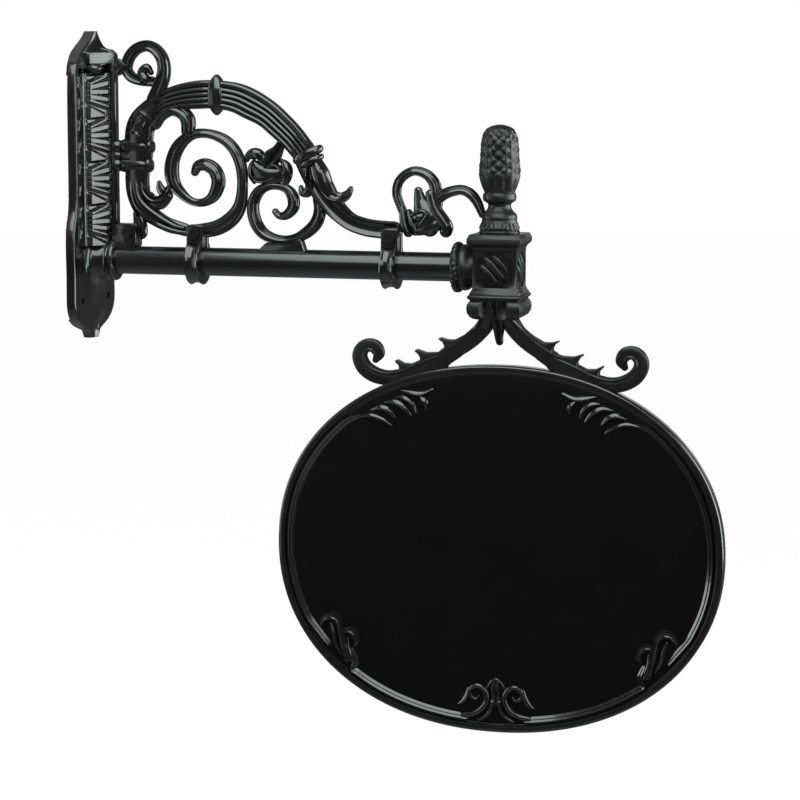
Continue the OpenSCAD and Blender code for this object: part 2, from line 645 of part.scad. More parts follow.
// Turned outline of the finial, [radius, height], set out on the planned cone and height
finial_outline = [[27, 0], [27, 3.5], [25.5, 4.5], [26.5, 8], [24, 14], [23.2, 17], [23.6, 21], [22.6, 26],
    [20, 31], [15.5, 35], [15.2, 38], [19, 42], [21.5, 46], [21.8, 51], [20.6, 55.5], [24.3, 66],
    [26.6, 76], [26.3, 88], [25.2, 100], [24.2, 114], [22.5, 126], [18.5, 135], [11, 140.5], [0, 142.5]];
module finial_body() {
    rotate_extrude($fn = round_fn) polygon(concat([[0, 0]], [for (q = finial_outline)
        [q[0] * cone_d / plan_cone, q[1] * finial_h / plan_finial]]));
}
module finial() {
    color("#1a1b1d") translate([head_x, 0, cap_top]) difference() {
        finial_body();
        translate([0, 0, -eps]) cylinder(d = rod_d, h = rod_z1 - cap_top + eps);
    }
}
module tie_rod() {
    color("#5a5c60") translate([head_x, 0, rod_z0]) cylinder(d = rod_d, h = rod_z1 - rod_z0);
}

/* Crown: drawing of one leaf arm, [x, z, half width] from the middle of the head and of the arm tube */
plan_reach = 200;
plan_block_z = -67;
arm_line = [[-6, -62, 9], [-18, -77, 10.5], [-34, -93.5, 11], [-52, -107, 10.5], [-72, -118, 10]];
arm_low = [[-56, -112, 9], [-74, -123, 10], [-100, -135, 12], [-128, -147, 11], [-150, -150.5, 10],
    [-168, -147.5, 10.5], [-183, -138, 10.5], [-190, -124, 10], [-185, -112, 9], [-176, -109, 8]];
volute_eye = [[-174, -115, 13], [-169, -117, 13.5]];
teeth = [[[-44, -102, 9.5], [-60, -100.5, 7.5], [-73, -98, 4], [-80, -95, 1.5]],
    [[-68, -121, 9.5], [-90, -119, 8], [-106, -115.5, 4], [-113, -112, 1.5]],
    [[-96, -136, 9.5], [-118, -133, 8], [-133, -129.5, 4], [-139.5, -126, 1.5]]];
centre_leaf = [[0, -60, 9], [0, -74, 8.5], [0, -90, 6], [1, -98, 5]];
function crown_place(q) = [q[0] * crown_reach / plan_reach, block_bottom + q[1] - plan_block_z, q[2]];
function crown_line(p) = smooth([for (q = p) crown_place(q)], steps);
module crown_arm(k) {
    polygon(band(crown_line(arm_line), k));
    polygon(band(crown_line(arm_low), k));
    polygon(band(crown_line(volute_eye), k));
    for (t = teeth) polygon(band(crown_line(t), k));
}
module crown_drawing(k) {
    offset(r = -1, $fn = 16) offset(delta = 1) {
        for (s = [0, 1]) mirror([s, 0, 0]) crown_arm(k);
        polygon(band(crown_line(centre_leaf), k));
    }
}
module crown() {
    color("#1a1b1d") difference() {
        union() {
            square_moulding(block_outline);
            translate([head_x, 0, 0]) {
                sheet(crown_t * 0.6) crown_drawing(1);
                sheet(crown_t) crown_drawing(0.55);
            }
        }
        translate([head_x, 0, rod_z0]) cylinder(d = rod_d, h = box_bottom - rod_z0 + eps);
        translate([head_x, 0, board_z]) sheet(2 * crown_t) oval_drawing(0);
        stud_holes();
    }
}

/* Board */
oval_n = 96;
oval_power = 2.13;
// Oval a little fuller than an ellipse, drawn in by d
function oval_point(t, d) = let (
    a = board_w / 2,
    b = board_h / 2,
    c = cos(t),
    s = sin(t),
    k = pow(pow(abs(c), oval_power) + pow(abs(s), oval_power), -1 / oval_power),
    n = [sign(c) * pow(abs(c * k), oval_power - 1) / a, sign(s) * pow(abs(s * k), oval_power - 1) / b])
    [a * c * k, b * s * k] - n / norm(n) * d;
function oval(d, n = oval_n) = [for (i = [0:n - 1]) oval_point(i * 360 / n, d)];
module oval_drawing(d) {
    polygon(oval(d));
}
// Height of the board's edge above its middle, at distance x from the middle
function edge_at(x, d) =
    (board_h / 2 - d) * pow(1 - pow(x / (board_w / 2 - d), oval_power), 1 / oval_power);
shell_t = board_t / 2;
field_y = shell_t - field_sink;
// Solid edge of each shell, inside which it is hollow
wall_in = 14;
boss_d = 16;
boss_in = 26;
board_screw_d = 5;
board_screw_head = 9;
board_screw_sunk = 2.5;
board_screw_in = 6;
board_screw_angles = [for (i = [0:board_screws_n - 1]) (i + 0.5) * 360 / board_screws_n];
function screw_spot(t) = oval_point(t, boss_in);
// Length of each stud below the board's edge, and how far it goes up into the crown
stud_len = 30;
stud_up = 14;
stud_pad = 16;
stud_top = board_z + edge_at(stud_x, 0);
// Pad under the rim that each stud passes through, its middle and width in the board's drawing
stud_pad_at = edge_at(stud_x, wall_in) - 1;
stud_pad_w = 24;
// Slab of the front half: drawing from depth y0 to y1 in front of the middle plane
module slab(y0, y1) {
    translate([head_x, -y0, board_z]) rotate([90, 0, 0]) linear_extrude(height = y1 - y0) children();
}
module ring_drawing(d0, d1) {
    difference() {
        oval_drawing(d0);
        oval_drawing(d1);
    }
}
// Leaf scrolls of the board, [x, z, half width] from the board's middle, on one side
foot_scrolls = [[[-23, -231, 3], [-14, -226, 3], [-8, -218, 3.5], [-5, -206, 4]],
    [[-49, -211, 1.5], [-44, -202, 4], [-38, -192, 4.5], [-28, -184, 4.5], [-18, -186, 4.5], [-12, -195, 4],
        [-8, -210, 3.5]],
    [[-31, -205, 2], [-27, -199, 3.5], [-21, -203, 3.5], [-20, -212, 3]],
    [[0, -173, 1.5], [0, -182, 5.5], [0, -194, 7], [0, -206, 4]]];
corner_low = [[[-243, -113, 2], [-238, -104, 5], [-227, -100, 5.5], [-217, -107, 5], [-214, -120, 5],
        [-210, -140, 5], [-205, -160, 4]],
    [[-214, -124, 2], [-206, -120, 4.5], [-198, -124, 5], [-196, -136, 4.5], [-200, -150, 4],
        [-204, -162, 3.5]]];
corner_top = [[[-172, 182, 1.5], [-160, 186, 4], [-148, 183, 4], [-140, 175, 2]],
    [[-154, 193, 1.5], [-140, 194, 4], [-127, 188, 4.5], [-118, 178, 2]],
    [[-136, 200, 1.5], [-126, 200, 3.5], [-115, 193, 3.5], [-111, 181, 1.5]],
    [[-130, 209, 1.5], [-112, 207, 4], [-100, 199, 4.5], [-96, 188, 2]]];
plan_board = [302, 246];
function board_place(q) = [q[0] * board_w / 2 / plan_board[0], q[1] * board_h / 2 / plan_board[1], q[2]];
module board_scrolls() {
    for (s = [0, 1]) mirror([s, 0, 0])
        for (p = concat(foot_scrolls, corner_low, corner_top))
            polygon(band(smooth([for (q = p) board_place(q)], 3), 1));
}
// One shell, facing the viewer
module board_shell() {
    difference() {
        union() {
            slab(0, shell_t) ring_drawing(0, rim_w);
            slab(0, field_y) ring_drawing(rim_w - 1, wall_in);
            slab(field_y - field_t, field_y) oval_drawing(rim_w);
            slab(field_y - eps, field_y + bead_h) ring_drawing(bead_in - bead_w / 2, bead_in + bead_w / 2);
            slab(field_y - eps, field_y + bead_h + 0.5) board_scrolls();
            for (t = board_screw_angles) slab(0, field_y - eps) translate(screw_spot(t)) circle(d = boss_d);
            for (s = [-1, 1]) slab(0, field_y - eps) translate([s * stud_x, stud_pad_at])
                square([stud_pad_w, stud_pad], center = true);
        }
        stud_holes();
    }
}
module stud_holes() {
    for (s = [-1, 1]) translate([head_x + s * stud_x, 0, stud_top - stud_len])
        cylinder(d = stud_d, h = stud_len + stud_up);
}
hanger_nut_h = 8;
// The studs stick out this far under their nuts
stud_out = 3;
nut_low = board_z + stud_pad_at - stud_pad / 2 - hanger_nut_h;
module hanger_studs() {
    color("#5a5c60") for (s = [-1, 1]) translate([head_x + s * stud_x, 0, nut_low - stud_out])
        cylinder(d = stud_d, h = stud_top + stud_up - nut_low + stud_out);
}
module hanger_nuts() {
    color("#5a5c60") for (s = [-1, 1]) translate([head_x + s * stud_x, 0, nut_low]) difference() {
        cylinder(d = stud_d * nut_ratio / cos(30), h = hanger_nut_h, $fn = 6);
        translate([0, 0, -eps]) cylinder(d = stud_d, h = hanger_nut_h + 2 * eps);
    }
}
module board_front() {
    color("#101113") difference() {
        board_shell();
        for (t = board_screw_angles) slab(-eps, board_screw_in) translate(screw_spot(t))
            circle(d = board_screw_d);
    }
}
module board_back() {
    color("#101113") difference() {
        mirror([0, 1, 0]) board_shell();
        for (t = board_screw_angles) {
            p = screw_spot(t);
            pin(head_x + p[0], board_z + p[1], board_screw_d, -eps, shell_t);
            board_screw_cone(p);
            pin(head_x + p[0], board_z + p[1], board_screw_head, field_y, shell_t + bead_h);
        }
    }
}
// Countersunk head of the screw at point p of the board's drawing
module board_screw_cone(p) {
    translate([head_x + p[0], field_y - board_screw_sunk, board_z + p[1]]) rotate([-90, 0, 0])
        cylinder(d1 = board_screw_d, d2 = board_screw_head, h = board_screw_sunk);
}
module board_screws() {
    color("#26282b") for (t = board_screw_angles) {
        p = screw_spot(t);
        pin(head_x + p[0], board_z + p[1], board_screw_d, -board_screw_in, field_y - board_screw_sunk + eps);
        board_screw_cone(p);
    }
}

wall_plate();
bracket_screws();
arm_tube();
scroll_bracket();
inner_clamp();
outer_clamp();
clamp_bolts();
clamp_washers();
clamp_nuts();
grub_screws();
end_flange();
head_box();
box_cap();
finial();
tie_rod();
crown();
hanger_studs();
hanger_nuts();
board_front();
board_back();
board_screws();
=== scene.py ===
import bmesh
import bpy
from math import atan2, cos, exp, pi, radians, sin, sqrt
from mathutils import Matrix, Vector


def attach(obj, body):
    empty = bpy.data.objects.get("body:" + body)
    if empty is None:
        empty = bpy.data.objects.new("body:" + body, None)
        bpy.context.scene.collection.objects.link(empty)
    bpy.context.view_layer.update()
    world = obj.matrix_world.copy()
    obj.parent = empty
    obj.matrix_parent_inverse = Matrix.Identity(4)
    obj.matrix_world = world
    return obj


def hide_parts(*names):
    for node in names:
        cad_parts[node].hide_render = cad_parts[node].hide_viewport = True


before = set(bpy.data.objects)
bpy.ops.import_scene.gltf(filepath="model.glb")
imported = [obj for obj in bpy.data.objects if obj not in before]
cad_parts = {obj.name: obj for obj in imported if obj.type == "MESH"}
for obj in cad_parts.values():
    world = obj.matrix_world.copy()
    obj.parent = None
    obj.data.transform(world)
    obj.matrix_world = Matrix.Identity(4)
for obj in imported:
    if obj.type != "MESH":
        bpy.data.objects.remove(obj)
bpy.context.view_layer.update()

mm = 0.001


# Studio
# Pale floor well under the hanging sign, a white surround and six soft boxes.
# The upper one draws the bright line along the arm, and the right one lights the relief on the plate.
bpy.context.scene.view_settings.view_transform = "Standard"
bpy.ops.object.select_all(action="DESELECT")
bpy.ops.object.camera_add(location=(1.3677, -3.4423, 0.1955), rotation=(radians(82.4), 0, radians(15)))
camera = bpy.context.object
camera.data.lens = 121.5
camera.data.sensor_width = 36
camera.data.clip_end = 100
bpy.context.scene.camera = camera

world = bpy.data.worlds.new("white_surround")
bpy.context.scene.world = world
world.use_nodes = True
tree = world.node_tree
tree.nodes.clear()


def feed(node, inputs):
    """Set each input of the node to a value, or link it to another node's output."""
    for name, value in inputs.items():
        if isinstance(value, bpy.types.NodeSocket):
            node.id_data.links.new(value, node.inputs[name])
        else:
            node.inputs[name].default_value = value


def wired(tree, kind, inputs, **settings):
    """Add a node with its settings and inputs, and give its outputs."""
    node = tree.nodes.new(kind)
    for setting, value in settings.items():
        setattr(node, setting, value)
    feed(node, inputs)
    return node.outputs


def larger(tree, first, second):
    return wired(tree, "ShaderNodeMath", {0: first, 1: second}, operation="MAXIMUM")[0]


rays = wired(tree, "ShaderNodeLightPath", {})
white_for = larger(tree, rays["Is Camera Ray"], rays["Is Transmission Ray"])
seen = larger(tree, white_for, rays["Is Glossy Ray"])
# The gloss sees the white backdrop behind the sign, and the dim room beside and in front of it
direction = wired(tree, "ShaderNodeTexCoord", {})["Generated"]
behind = (-0.26, 0.96, -0.1)
facing = wired(tree, "ShaderNodeVectorMath", {0: direction, 1: behind}, operation="DOT_PRODUCT")["Value"]
backdrop = wired(tree, "ShaderNodeMapRange",
                 {"Value": facing, "From Min": 0.85, "From Max": 0.97, "To Min": 0.1, "To Max": 0.6},
                 interpolation_type="SMOOTHSTEP")["Result"]
dim = wired(tree, "ShaderNodeBackground", {"Color": (0.93, 0.96, 1, 1), "Strength": 0.17})[0]
bright = wired(tree, "ShaderNodeBackground",
               {"Color": (1, 1, 1, 1), "Strength": larger(tree, white_for, backdrop)})[0]
either = wired(tree, "ShaderNodeMixShader", {"Fac": seen, 1: dim, 2: bright})[0]
wired(tree, "ShaderNodeOutputWorld", {"Surface": either})

floor_z = -2.2
bpy.ops.mesh.primitive_circle_add(vertices=64, radius=30, fill_type="NGON", location=(0, 0, floor_z))
floor = bpy.context.object
floor.name = "studio_floor"
floor_paper = bpy.data.materials.new("floor_paper")
floor_paper.use_nodes = True
tree = floor_paper.node_tree
camera_ray = wired(tree, "ShaderNodeLightPath", {})["Is Camera Ray"]
glow = wired(tree, "ShaderNodeMath", {0: camera_ray, 1: 0.92}, operation="MULTIPLY")[0]
feed(tree.nodes["Principled BSDF"], {"Base Color": (0.42, 0.42, 0.42, 1), "Roughness": 0.9,
                                     "Specular IOR Level": 0, "Emission Color": (1, 1, 1, 1),
                                     "Emission Strength": glow})
floor.data.materials.append(floor_paper)


def soft_box(name, place, aim, width, height, radiance):
    """Area lamp of the given radiance, turned towards aim."""
    bpy.ops.object.light_add(type="AREA", location=place)
    lamp = bpy.context.object
    lamp.name = name
    lamp.data.shape = "RECTANGLE"
    lamp.data.size = width
    lamp.data.size_y = height
    lamp.data.energy = radiance * pi * width * height
    lamp.data.color = (0.88, 1, 0.99)
    lamp.rotation_euler = (Vector(aim) - Vector(place)).to_track_quat("-Z", "Y").to_euler()
    lamp.visible_camera = False


soft_box("upper_box", (0.5, -1.15, 1.5), (0.35, 0, -0.2), 1.95, 2.2, 3.4)
soft_box("right_box", (2.55, 0.54, 0.15), (0.28, 0.04, 0), 2.35, 2.0, 4.8)
soft_box("left_box", (-1.4, -0.2, 0), (0.35, 0, -0.2), 1.0, 1.5, 3.4)
soft_box("near_box", (1.75, -1.65, 0.55), (0.4, 0, -0.35), 0.9, 0.8, 2.6)
soft_box("front_left_box", (-1.3, -1.6, -0.2), (0.45, 0, -0.3), 1.2, 1.6, 0.7)
soft_box("top_box", (-0.8, 0.1, 1.5), (0, 0, 0.2), 1.8, 1.8, 0.4)


# Wall plate
# Cast-iron back plate with a leaf relief up its middle, screwed to the wall at four holes.
# It was cast in one piece with the socket for the arm and painted gloss black.


def pick(*pieces):
    """Select these pieces alone; the last one is active."""
    bpy.ops.object.select_all(action="DESELECT")
    for piece in pieces:
        piece.select_set(True)
    bpy.context.view_layer.objects.active = pieces[-1]


def settle(piece):
    """Put the piece's place into its mesh."""
    pick(piece)
    bpy.ops.object.transform_apply(location=True, rotation=True, scale=True)
    return piece


def linked(name, data):
    """New object in the scene for a mesh or a curve."""
    piece = bpy.data.objects.new(name, data)
    bpy.context.collection.objects.link(piece)
    return piece


def edit(piece):
    """Open the piece for editing, all of it selected."""
    pick(piece)
    bpy.ops.object.mode_set(mode="EDIT")
    bpy.ops.mesh.select_all(action="SELECT")


def face_out(piece):
    """Merge doubles and turn every face outwards."""
    edit(piece)
    bpy.ops.mesh.remove_doubles(threshold=0.02 * mm)
    bpy.ops.mesh.normals_make_consistent(inside=False)
    bpy.ops.object.mode_set(mode="OBJECT")


def work(piece, others, operation):
    """Fuse other castings into the piece, or cut them out of it, and drop them."""
    for other in others:
        pick(piece)
        step = piece.modifiers.new("fit", "BOOLEAN")
        step.operation = operation
        step.solver = "MANIFOLD"
        step.object = other
        bpy.ops.object.modifier_apply(modifier=step.name)
        bpy.data.objects.remove(other)
    return piece


def fuse(piece, others):
    return work(piece, others, "UNION")


def cut(piece, others):
    return work(piece, others, "DIFFERENCE")


def paint(name, colour, rough, gloss, grain, coat=0.0):
    """Finish of a cast or rolled face: small waves, pinholes and uneven gloss, all by grain."""
    finish = bpy.data.materials.new(name)
    finish.use_nodes = True
    tree = finish.node_tree
    place = wired(tree, "ShaderNodeTexCoord", {})["Object"]

    def noise(scale, detail):
        return wired(tree, "ShaderNodeTexNoise", {"Vector": place, "Scale": scale, "Detail": detail})["Fac"]

    uneven = min(1, 5 * grain)
    patches = noise(22, 5)
    tone = tree.nodes.new("ShaderNodeValToRGB")
    feed(tone, {"Fac": patches})
    for element, position, share in zip(tone.color_ramp.elements, (0.3, 0.72), (-0.3, 0.6)):
        element.position = position
        element.color = [channel * (1 + share * uneven) for channel in colour] + [1]
    mixed = wired(tree, "ShaderNodeMath", {0: noise(260, 3), 1: 0.4, 2: patches}, operation="MULTIPLY_ADD")
    rough_mix = wired(tree, "ShaderNodeMapRange",
                      {"Value": mixed[0], "From Min": 0.45, "From Max": 0.95, "To Min": rough - 0.05 * uneven,
                       "To Max": rough + 0.09 * uneven})["Result"]
    swell = wired(tree, "ShaderNodeBump",
                  {"Strength": 0.18 * grain, "Distance": 0.0012, "Height": noise(130, 2)})["Normal"]
    pores = wired(tree, "ShaderNodeBump", {"Strength": 0.22 * grain, "Distance": 0.00012,
                                           "Height": noise(900, 2), "Normal": swell})["Normal"]
    feed(tree.nodes["Principled BSDF"],
         {"Base Color": tone.outputs["Color"], "Roughness": rough_mix, "Normal": pores,
          "Specular IOR Level": gloss, "Coat Weight": coat, "Coat Roughness": 0.08})
    return finish


gloss_black = paint("gloss_black_casting_paint", (0.004, 0.0042, 0.0045), 0.2, 0.6, 0.6, 0.8)

# Half outline of the plate from the top point down, [half width, height]
plate_half = [
    (8, 207), (12, 201), (20, 194.5), (32, 186.5), (45, 176), (54, 164), (60, 150), (62, 100), (62, 0),
    (64, -30), (69, -45), (75, -60), (76, -90), (75, -120), (76, -150), (74, -165), (66, -178),
    (50, -187), (32, -193), (18, -197), (12, -203), (10, -208)]


def smooth_line(points, steps):
    """Smooth line through given points, with so many steps from each to the next."""
    line = []
    last = len(points) - 1
    for i in range(last):
        a, b = Vector(points[max(i - 1, 0)]), Vector(points[i])
        c, d = Vector(points[i + 1]), Vector(points[min(i + 2, last)])
        for j in range(steps):
            t = j / steps
            line.append(0.5 * (2 * b + (c - a) * t + (2 * a - 5 * b + 4 * c - d) * t * t
                               + (3 * b - a - 3 * c + d) * t ** 3))
    line.append(Vector(points[last]))
    return line


def flat_piece(outline, name):
    """One flat face in X and Y from an outline in mm, ready to be extruded."""
    bpy.ops.mesh.primitive_circle_add(vertices=len(outline), radius=1, fill_type="NGON")
    piece = bpy.context.object
    piece.name = name
    for vert, (x, y) in zip(piece.data.vertices, outline):
        vert.co = (x * mm, y * mm, 0)
    return piece


def raise_steps(piece, steps):
    """Raise the flat face by steps of (inset, height) in mm: each draws its edge in and lifts it."""
    edit(piece)
    bpy.ops.mesh.select_mode(type="FACE")
    bpy.ops.mesh.select_all(action="SELECT")
    bpy.ops.mesh.extrude_region_move(TRANSFORM_OT_translate={"value": (0, 0, steps[0][1] * mm)})
    inset, height = 0, steps[0][1]
    for further, higher in steps[1:]:
        lift = (0, 0, (higher - height) * mm)
        if further > inset:
            bpy.ops.mesh.inset(thickness=(further - inset) * mm, use_even_offset=True)
            bpy.ops.transform.translate(value=lift)
        else:
            bpy.ops.mesh.extrude_region_move(TRANSFORM_OT_translate={"value": lift})
        inset, height = further, higher
    bpy.ops.mesh.select_all(action="DESELECT")
    bpy.ops.object.mode_set(mode="OBJECT")
    return piece


def wall_side(piece):
    """Turn a piece drawn lying down, x across and y up, to stand on the wall and face +X."""
    piece.matrix_world = Matrix(((0, 0, 1, 0), (1, 0, 0, 0), (0, 1, 0, 0), (0, 0, 0, 1)))
    return settle(piece)


half = smooth_line(plate_half, 2)
plate_outline = [(p[0], p[1]) for p in half] + [(-p[0], p[1]) for p in reversed(half)]
gap_to_wall = 3
wall_plate = flat_piece(plate_outline[::-1], "wall_plate_casting")
raise_steps(wall_plate, [(0, 7.5), (0.5, 9.4), (1.6, 11), (3.2, 11.8), (5, 12)])
wall_plate.location.z = gap_to_wall * mm
settle(wall_plate)
wall_side(wall_plate)
face_out(wall_plate)
# Flat seat on the wall, drawn in about 8 mm all round
seat = flat_piece([(x * (1 - 8 / 76), y * (1 - 8 / 208)) for x, y in plate_outline[::-1]], "seat")
raise_steps(seat, [(0, gap_to_wall + 1)])
wall_side(seat)
face_out(seat)
fuse(wall_plate, [seat])


# Roof-like facets fall from the crest to the plate's edge at both ends
# Crest as (out, height), edge as (across, height, out)
crest_line = smooth_line([
    (46, 166), (47, 177), (42, 181.5), (35.5, 184.5), (31, 188.5), (27, 195), (24.5, 201), (21, 207)], 3)
edge_line = smooth_line([
    (58.8, 148, 13.5), (58.6, 150, 14), (54.3, 164, 15), (45.3, 176, 15.5), (32.3, 186.6, 16),
    (20.3, 194.6, 17), (12.3, 201.1, 18), (8.3, 207, 19)], 3)


def closed_roof(edge_line, crest_line, name):
    """Two slopes from a ridge over the plate's edge to the crest, as one closed block."""
    foot = 0.5
    loop = bmesh.new()
    rows = []
    for e, c in zip(edge_line, crest_line):
        row = []
        for j in range(-5, 6):
            t = (5 - abs(j)) / 5
            lift = 0.2 * t + 0.8 * t * t
            across = e[0] * (1 - t) * (1 if j > 0 else -1)
            row.append(loop.verts.new(((e[2] + (c[0] - e[2]) * lift) * mm, across * mm,
                                       (e[1] * (1 - t) + c[1] * t) * mm)))
        for s in (1, -1):
            row.append(loop.verts.new((foot * mm, s * e[0] * mm, e[1] * mm)))
        rows.append(row)
    for a, b in zip(rows, rows[1:]):
        for j in range(len(a)):
            k = (j + 1) % len(a)
            loop.faces.new((a[j], a[k], b[k], b[j]))
    loop.faces.new(rows[0][::-1])
    loop.faces.new(rows[-1])
    mesh = bpy.data.meshes.new(name)
    loop.to_mesh(mesh)
    loop.free()
    piece = linked(name, mesh)
    face_out(piece)
    return piece


roof = closed_roof(edge_line, crest_line, "roof")
low_crest = smooth_line([(14, -176), (14.5, -183), (16, -190), (18, -197), (19, -203), (19, -207.5)], 3)
low_edge = smooth_line([
    (66, -178, 13.5), (50.3, -187, 13.6), (32.3, -193, 14), (18.3, -197, 14.5), (12.3, -203, 15),
    (10.2, -207.5, 15)], 3)
low_roof = closed_roof(low_edge, low_crest, "low_roof")
fuse(wall_plate, [roof, low_roof])
# The top point stands off the wall
tip_from, tip_long, tip_off, tip_deep = 178, 29, 7, 22
for vert in wall_plate.data.vertices:
    off = max(0, (vert.co.z - tip_from * mm) / tip_long * tip_off)
    vert.co.x += off * max(0, 1 - vert.co.x / (tip_deep * mm))

# Leaf relief: four tiers of leaves on a spine of wedge shape, their ribs fanned out from the near side
# towards the bar, a pointed leaf below each fan, within a thin waving edge
# The top fan's middle is at fan_z, and half a fan is fan_half high where it is narrowest
fan_z, fan_half, fan_up, fan_down = 126, 13, 11, 8
fan_in, fan_out = 10, 33
below_fan, drop_half, drop_at, drop_further = 37, 6.5, 27.5, 5.5
relief_low, relief_high = -80, 151
tier = 58
# Spine as (across, height over the wall)
spine = [(0, 40), (7.4, 40), (8.6, 44), (12, 42), (35, 25), (38, 21), (42, 17.5), (50, 15.5), (60, 14)]


def relief_edge(z):
    """Half width of the relief at height z, in mm: its edge waves in and out twice a tier."""
    return 56 + 1.5 * sin((z - 96) / tier * 4 * pi)


def spine_height(y):
    """Height of the bare spine over the wall at y across, in mm."""
    for (y0, x0), (y1, x1) in zip(spine, spine[1:]):
        if y <= y1:
            return x0 + (x1 - x0) * (y - y0) / (y1 - y0)
    return spine[-1][1]


def leaves(y, z):
    """Height of the leaves over the spine at y across and z up, both in mm; the hollows are negative."""
    spread = min(max((fan_out - y) / (fan_out - fan_in), 0), 1)
    local = (z - fan_z + below_fan) % tier - below_fan
    reach = fan_half + (fan_up if local > 0 else fan_down) * spread
    fan_gap = max(0, abs(local) - reach)
    drop = drop_half * min(1, max(0, (y - 14) / 19))
    drop_gap = max(0, abs(local + drop_at + drop_further * spread) - drop) if drop > 0 else 99
    if fan_gap > 0:
        return -0.75 * min(fan_gap, drop_gap, 4)
    fan = local / reach * 2
    groove = abs((fan + 10) % 1 - 0.5)
    return -(0.5 + 1.8 * spread) * max(0, 1 - groove / (0.1 + 0.2 * spread))


rows, across = 420, 111
bpy.ops.mesh.primitive_grid_add(x_subdivisions=across - 1, y_subdivisions=rows, size=1)
relief = bpy.context.object
for i, vert in enumerate(relief.data.vertices):
    z = relief_low + (relief_high - relief_low) * (i // across) / rows
    edge = relief_edge(z)
    y = edge * (2 * (i % across) / (across - 1) - 1)
    rolled = 3 * exp(-((abs(y) - edge + 2.6) / 1.6) ** 2)
    inner = min(1, max(0, (abs(y) - 8.6) / 1.5)) * (0.12 + 0.88 * min(1, max(0, (38.5 - abs(y)) / 3)))
    vert.co = ((spine_height(abs(y)) + leaves(abs(y), z) * inner + rolled) * mm, y * mm, z * mm)
edit(relief)
bpy.ops.mesh.select_all(action="DESELECT")
bpy.ops.mesh.select_mode(type="EDGE")
bpy.ops.mesh.select_non_manifold()
bpy.ops.mesh.extrude_region_move(TRANSFORM_OT_translate={"value": (0, 0, 0)})
bpy.ops.transform.resize(value=(0, 1, 1), center_override=(8 * mm, 0, 0))
bpy.ops.mesh.edge_face_add()
bpy.ops.object.mode_set(mode="OBJECT")
face_out(relief)
fuse(wall_plate, [relief])


def turned(profile, axis_at, name, along="x", steps=64):
    """Turned piece from a closed or pole-to-pole profile of (distance along the axis, radius) in mm."""
    mesh = bpy.data.meshes.new(name)
    places = [(a * mm, 0, r * mm) if along == "x" else (r * mm, 0, a * mm) for a, r in profile]
    closed = profile[0][1] > 0
    last = len(places) if closed else len(places) - 1
    mesh.from_pydata(places, [(i, (i + 1) % len(places)) for i in range(last)], [])
    piece = linked(name, mesh)
    edit(piece)
    axis = (1, 0, 0) if along == "x" else (0, 0, 1)
    bpy.ops.mesh.spin(steps=steps, angle=2 * pi, center=(0, 0, 0), axis=axis)
    bpy.ops.object.mode_set(mode="OBJECT")
    face_out(piece)
    piece.location = [v * mm for v in axis_at]
    return settle(piece)


def stand(piece):
    """Turn a piece drawn lying down, x out from the wall and y up, to stand in the middle plane."""
    piece.matrix_world = Matrix(((1, 0, 0, 0), (0, 0, -1, 0), (0, 1, 0, 0), (0, 0, 0, 1)))
    return settle(piece)


def soften(piece, width, segments=2, angle=40):
    """Round the piece's sharp edges by width in mm."""
    pick(piece)
    edge = piece.modifiers.new("edge", "BEVEL")
    edge.width = width * mm
    edge.segments = segments
    edge.limit_method = "ANGLE"
    edge.angle_limit = radians(angle)
    bpy.ops.object.modifier_apply(modifier=edge.name)
    return piece


def upright(outline, y0, y1, name, edge=0.0):
    """Upright slab in the plane of the scrollwork, from depth y0 to y1, its edges rounded by edge in mm if
    given.
    """
    piece = flat_piece(outline, name)
    raise_steps(piece, [(0, y1 - y0)])
    stand(piece)
    piece.location.y = y1 * mm
    settle(piece)
    face_out(piece)
    if edge:
        soften(piece, edge)
    return piece


def drill(place, axis, radius, length):
    """Round cutter centred on place, along the axis."""
    bpy.ops.mesh.primitive_cylinder_add(vertices=32, radius=radius * mm, depth=length * mm,
                                        location=[v * mm for v in place])
    piece = bpy.context.object
    piece.name = "drill"
    if axis == "x":
        piece.rotation_euler.y = pi / 2
    if axis == "y":
        piece.rotation_euler.x = pi / 2
    return settle(piece)


arm_z, arm_r = -101, 19
bolt_z, bolt_hole = -63, 4.1
ear_in, ear_out = 6, 13
# Round socket with a flared foot and a rolled ring at its mouth
socket = turned([
    (10, 17), (14, 41), (16, 37), (18.5, 32.5), (22, 30), (27, 28.7), (37, 28), (38, 27), (38.6, 25.4),
    (40, 25.2), (41, 26.6), (42.5, 27.8), (45.5, 28.2), (48, 27.4), (49.6, 25), (50, 22), (50, 17)],
    (0, 0, arm_z), "socket")
# Two ears beside the socket take the first tongue of the scrollwork
ear_line = [(44, -104), (44, -51.5), (73, -51), (77, -53), (79, -57), (79, -80), (76, -86), (70, -88)]
ear_sides = (-ear_out, -ear_in), (ear_in, ear_out)
ears = [upright(ear_line, *side, "ear", 1.2) for side in ear_sides]
bar_half = 7
foot_line = [(6, 140), (6, 190), (44, 182), (50, 176), (50, 140)]
bar_foot = upright(foot_line, -bar_half, bar_half, "bar_foot", 1.5)
# Wedge-shaped block over the end of the bar, with a round boss on each side below it
block_line = [(13, -38.5), (25.5, -37.5), (49, -4), (49, 4), (25.5, 37.5), (13, 38.5)]
end_block = flat_piece(block_line, "end_block")
raise_steps(end_block, [(0, 15.5)])
end_block.location.z = 163.5 * mm
settle(end_block)
face_out(end_block)
soften(end_block, 0.8)
bosses = []
for side in (-1, 1):
    bpy.ops.mesh.primitive_uv_sphere_add(segments=32, ring_count=16, radius=1)
    boss = bpy.context.object
    boss.location = (29 * mm, side * 29 * mm, 157 * mm)
    boss.scale = (12 * mm, 11 * mm, 7.5 * mm)
    bosses.append(settle(boss))
fuse(wall_plate, [socket] + ears + [bar_foot, end_block] + bosses)
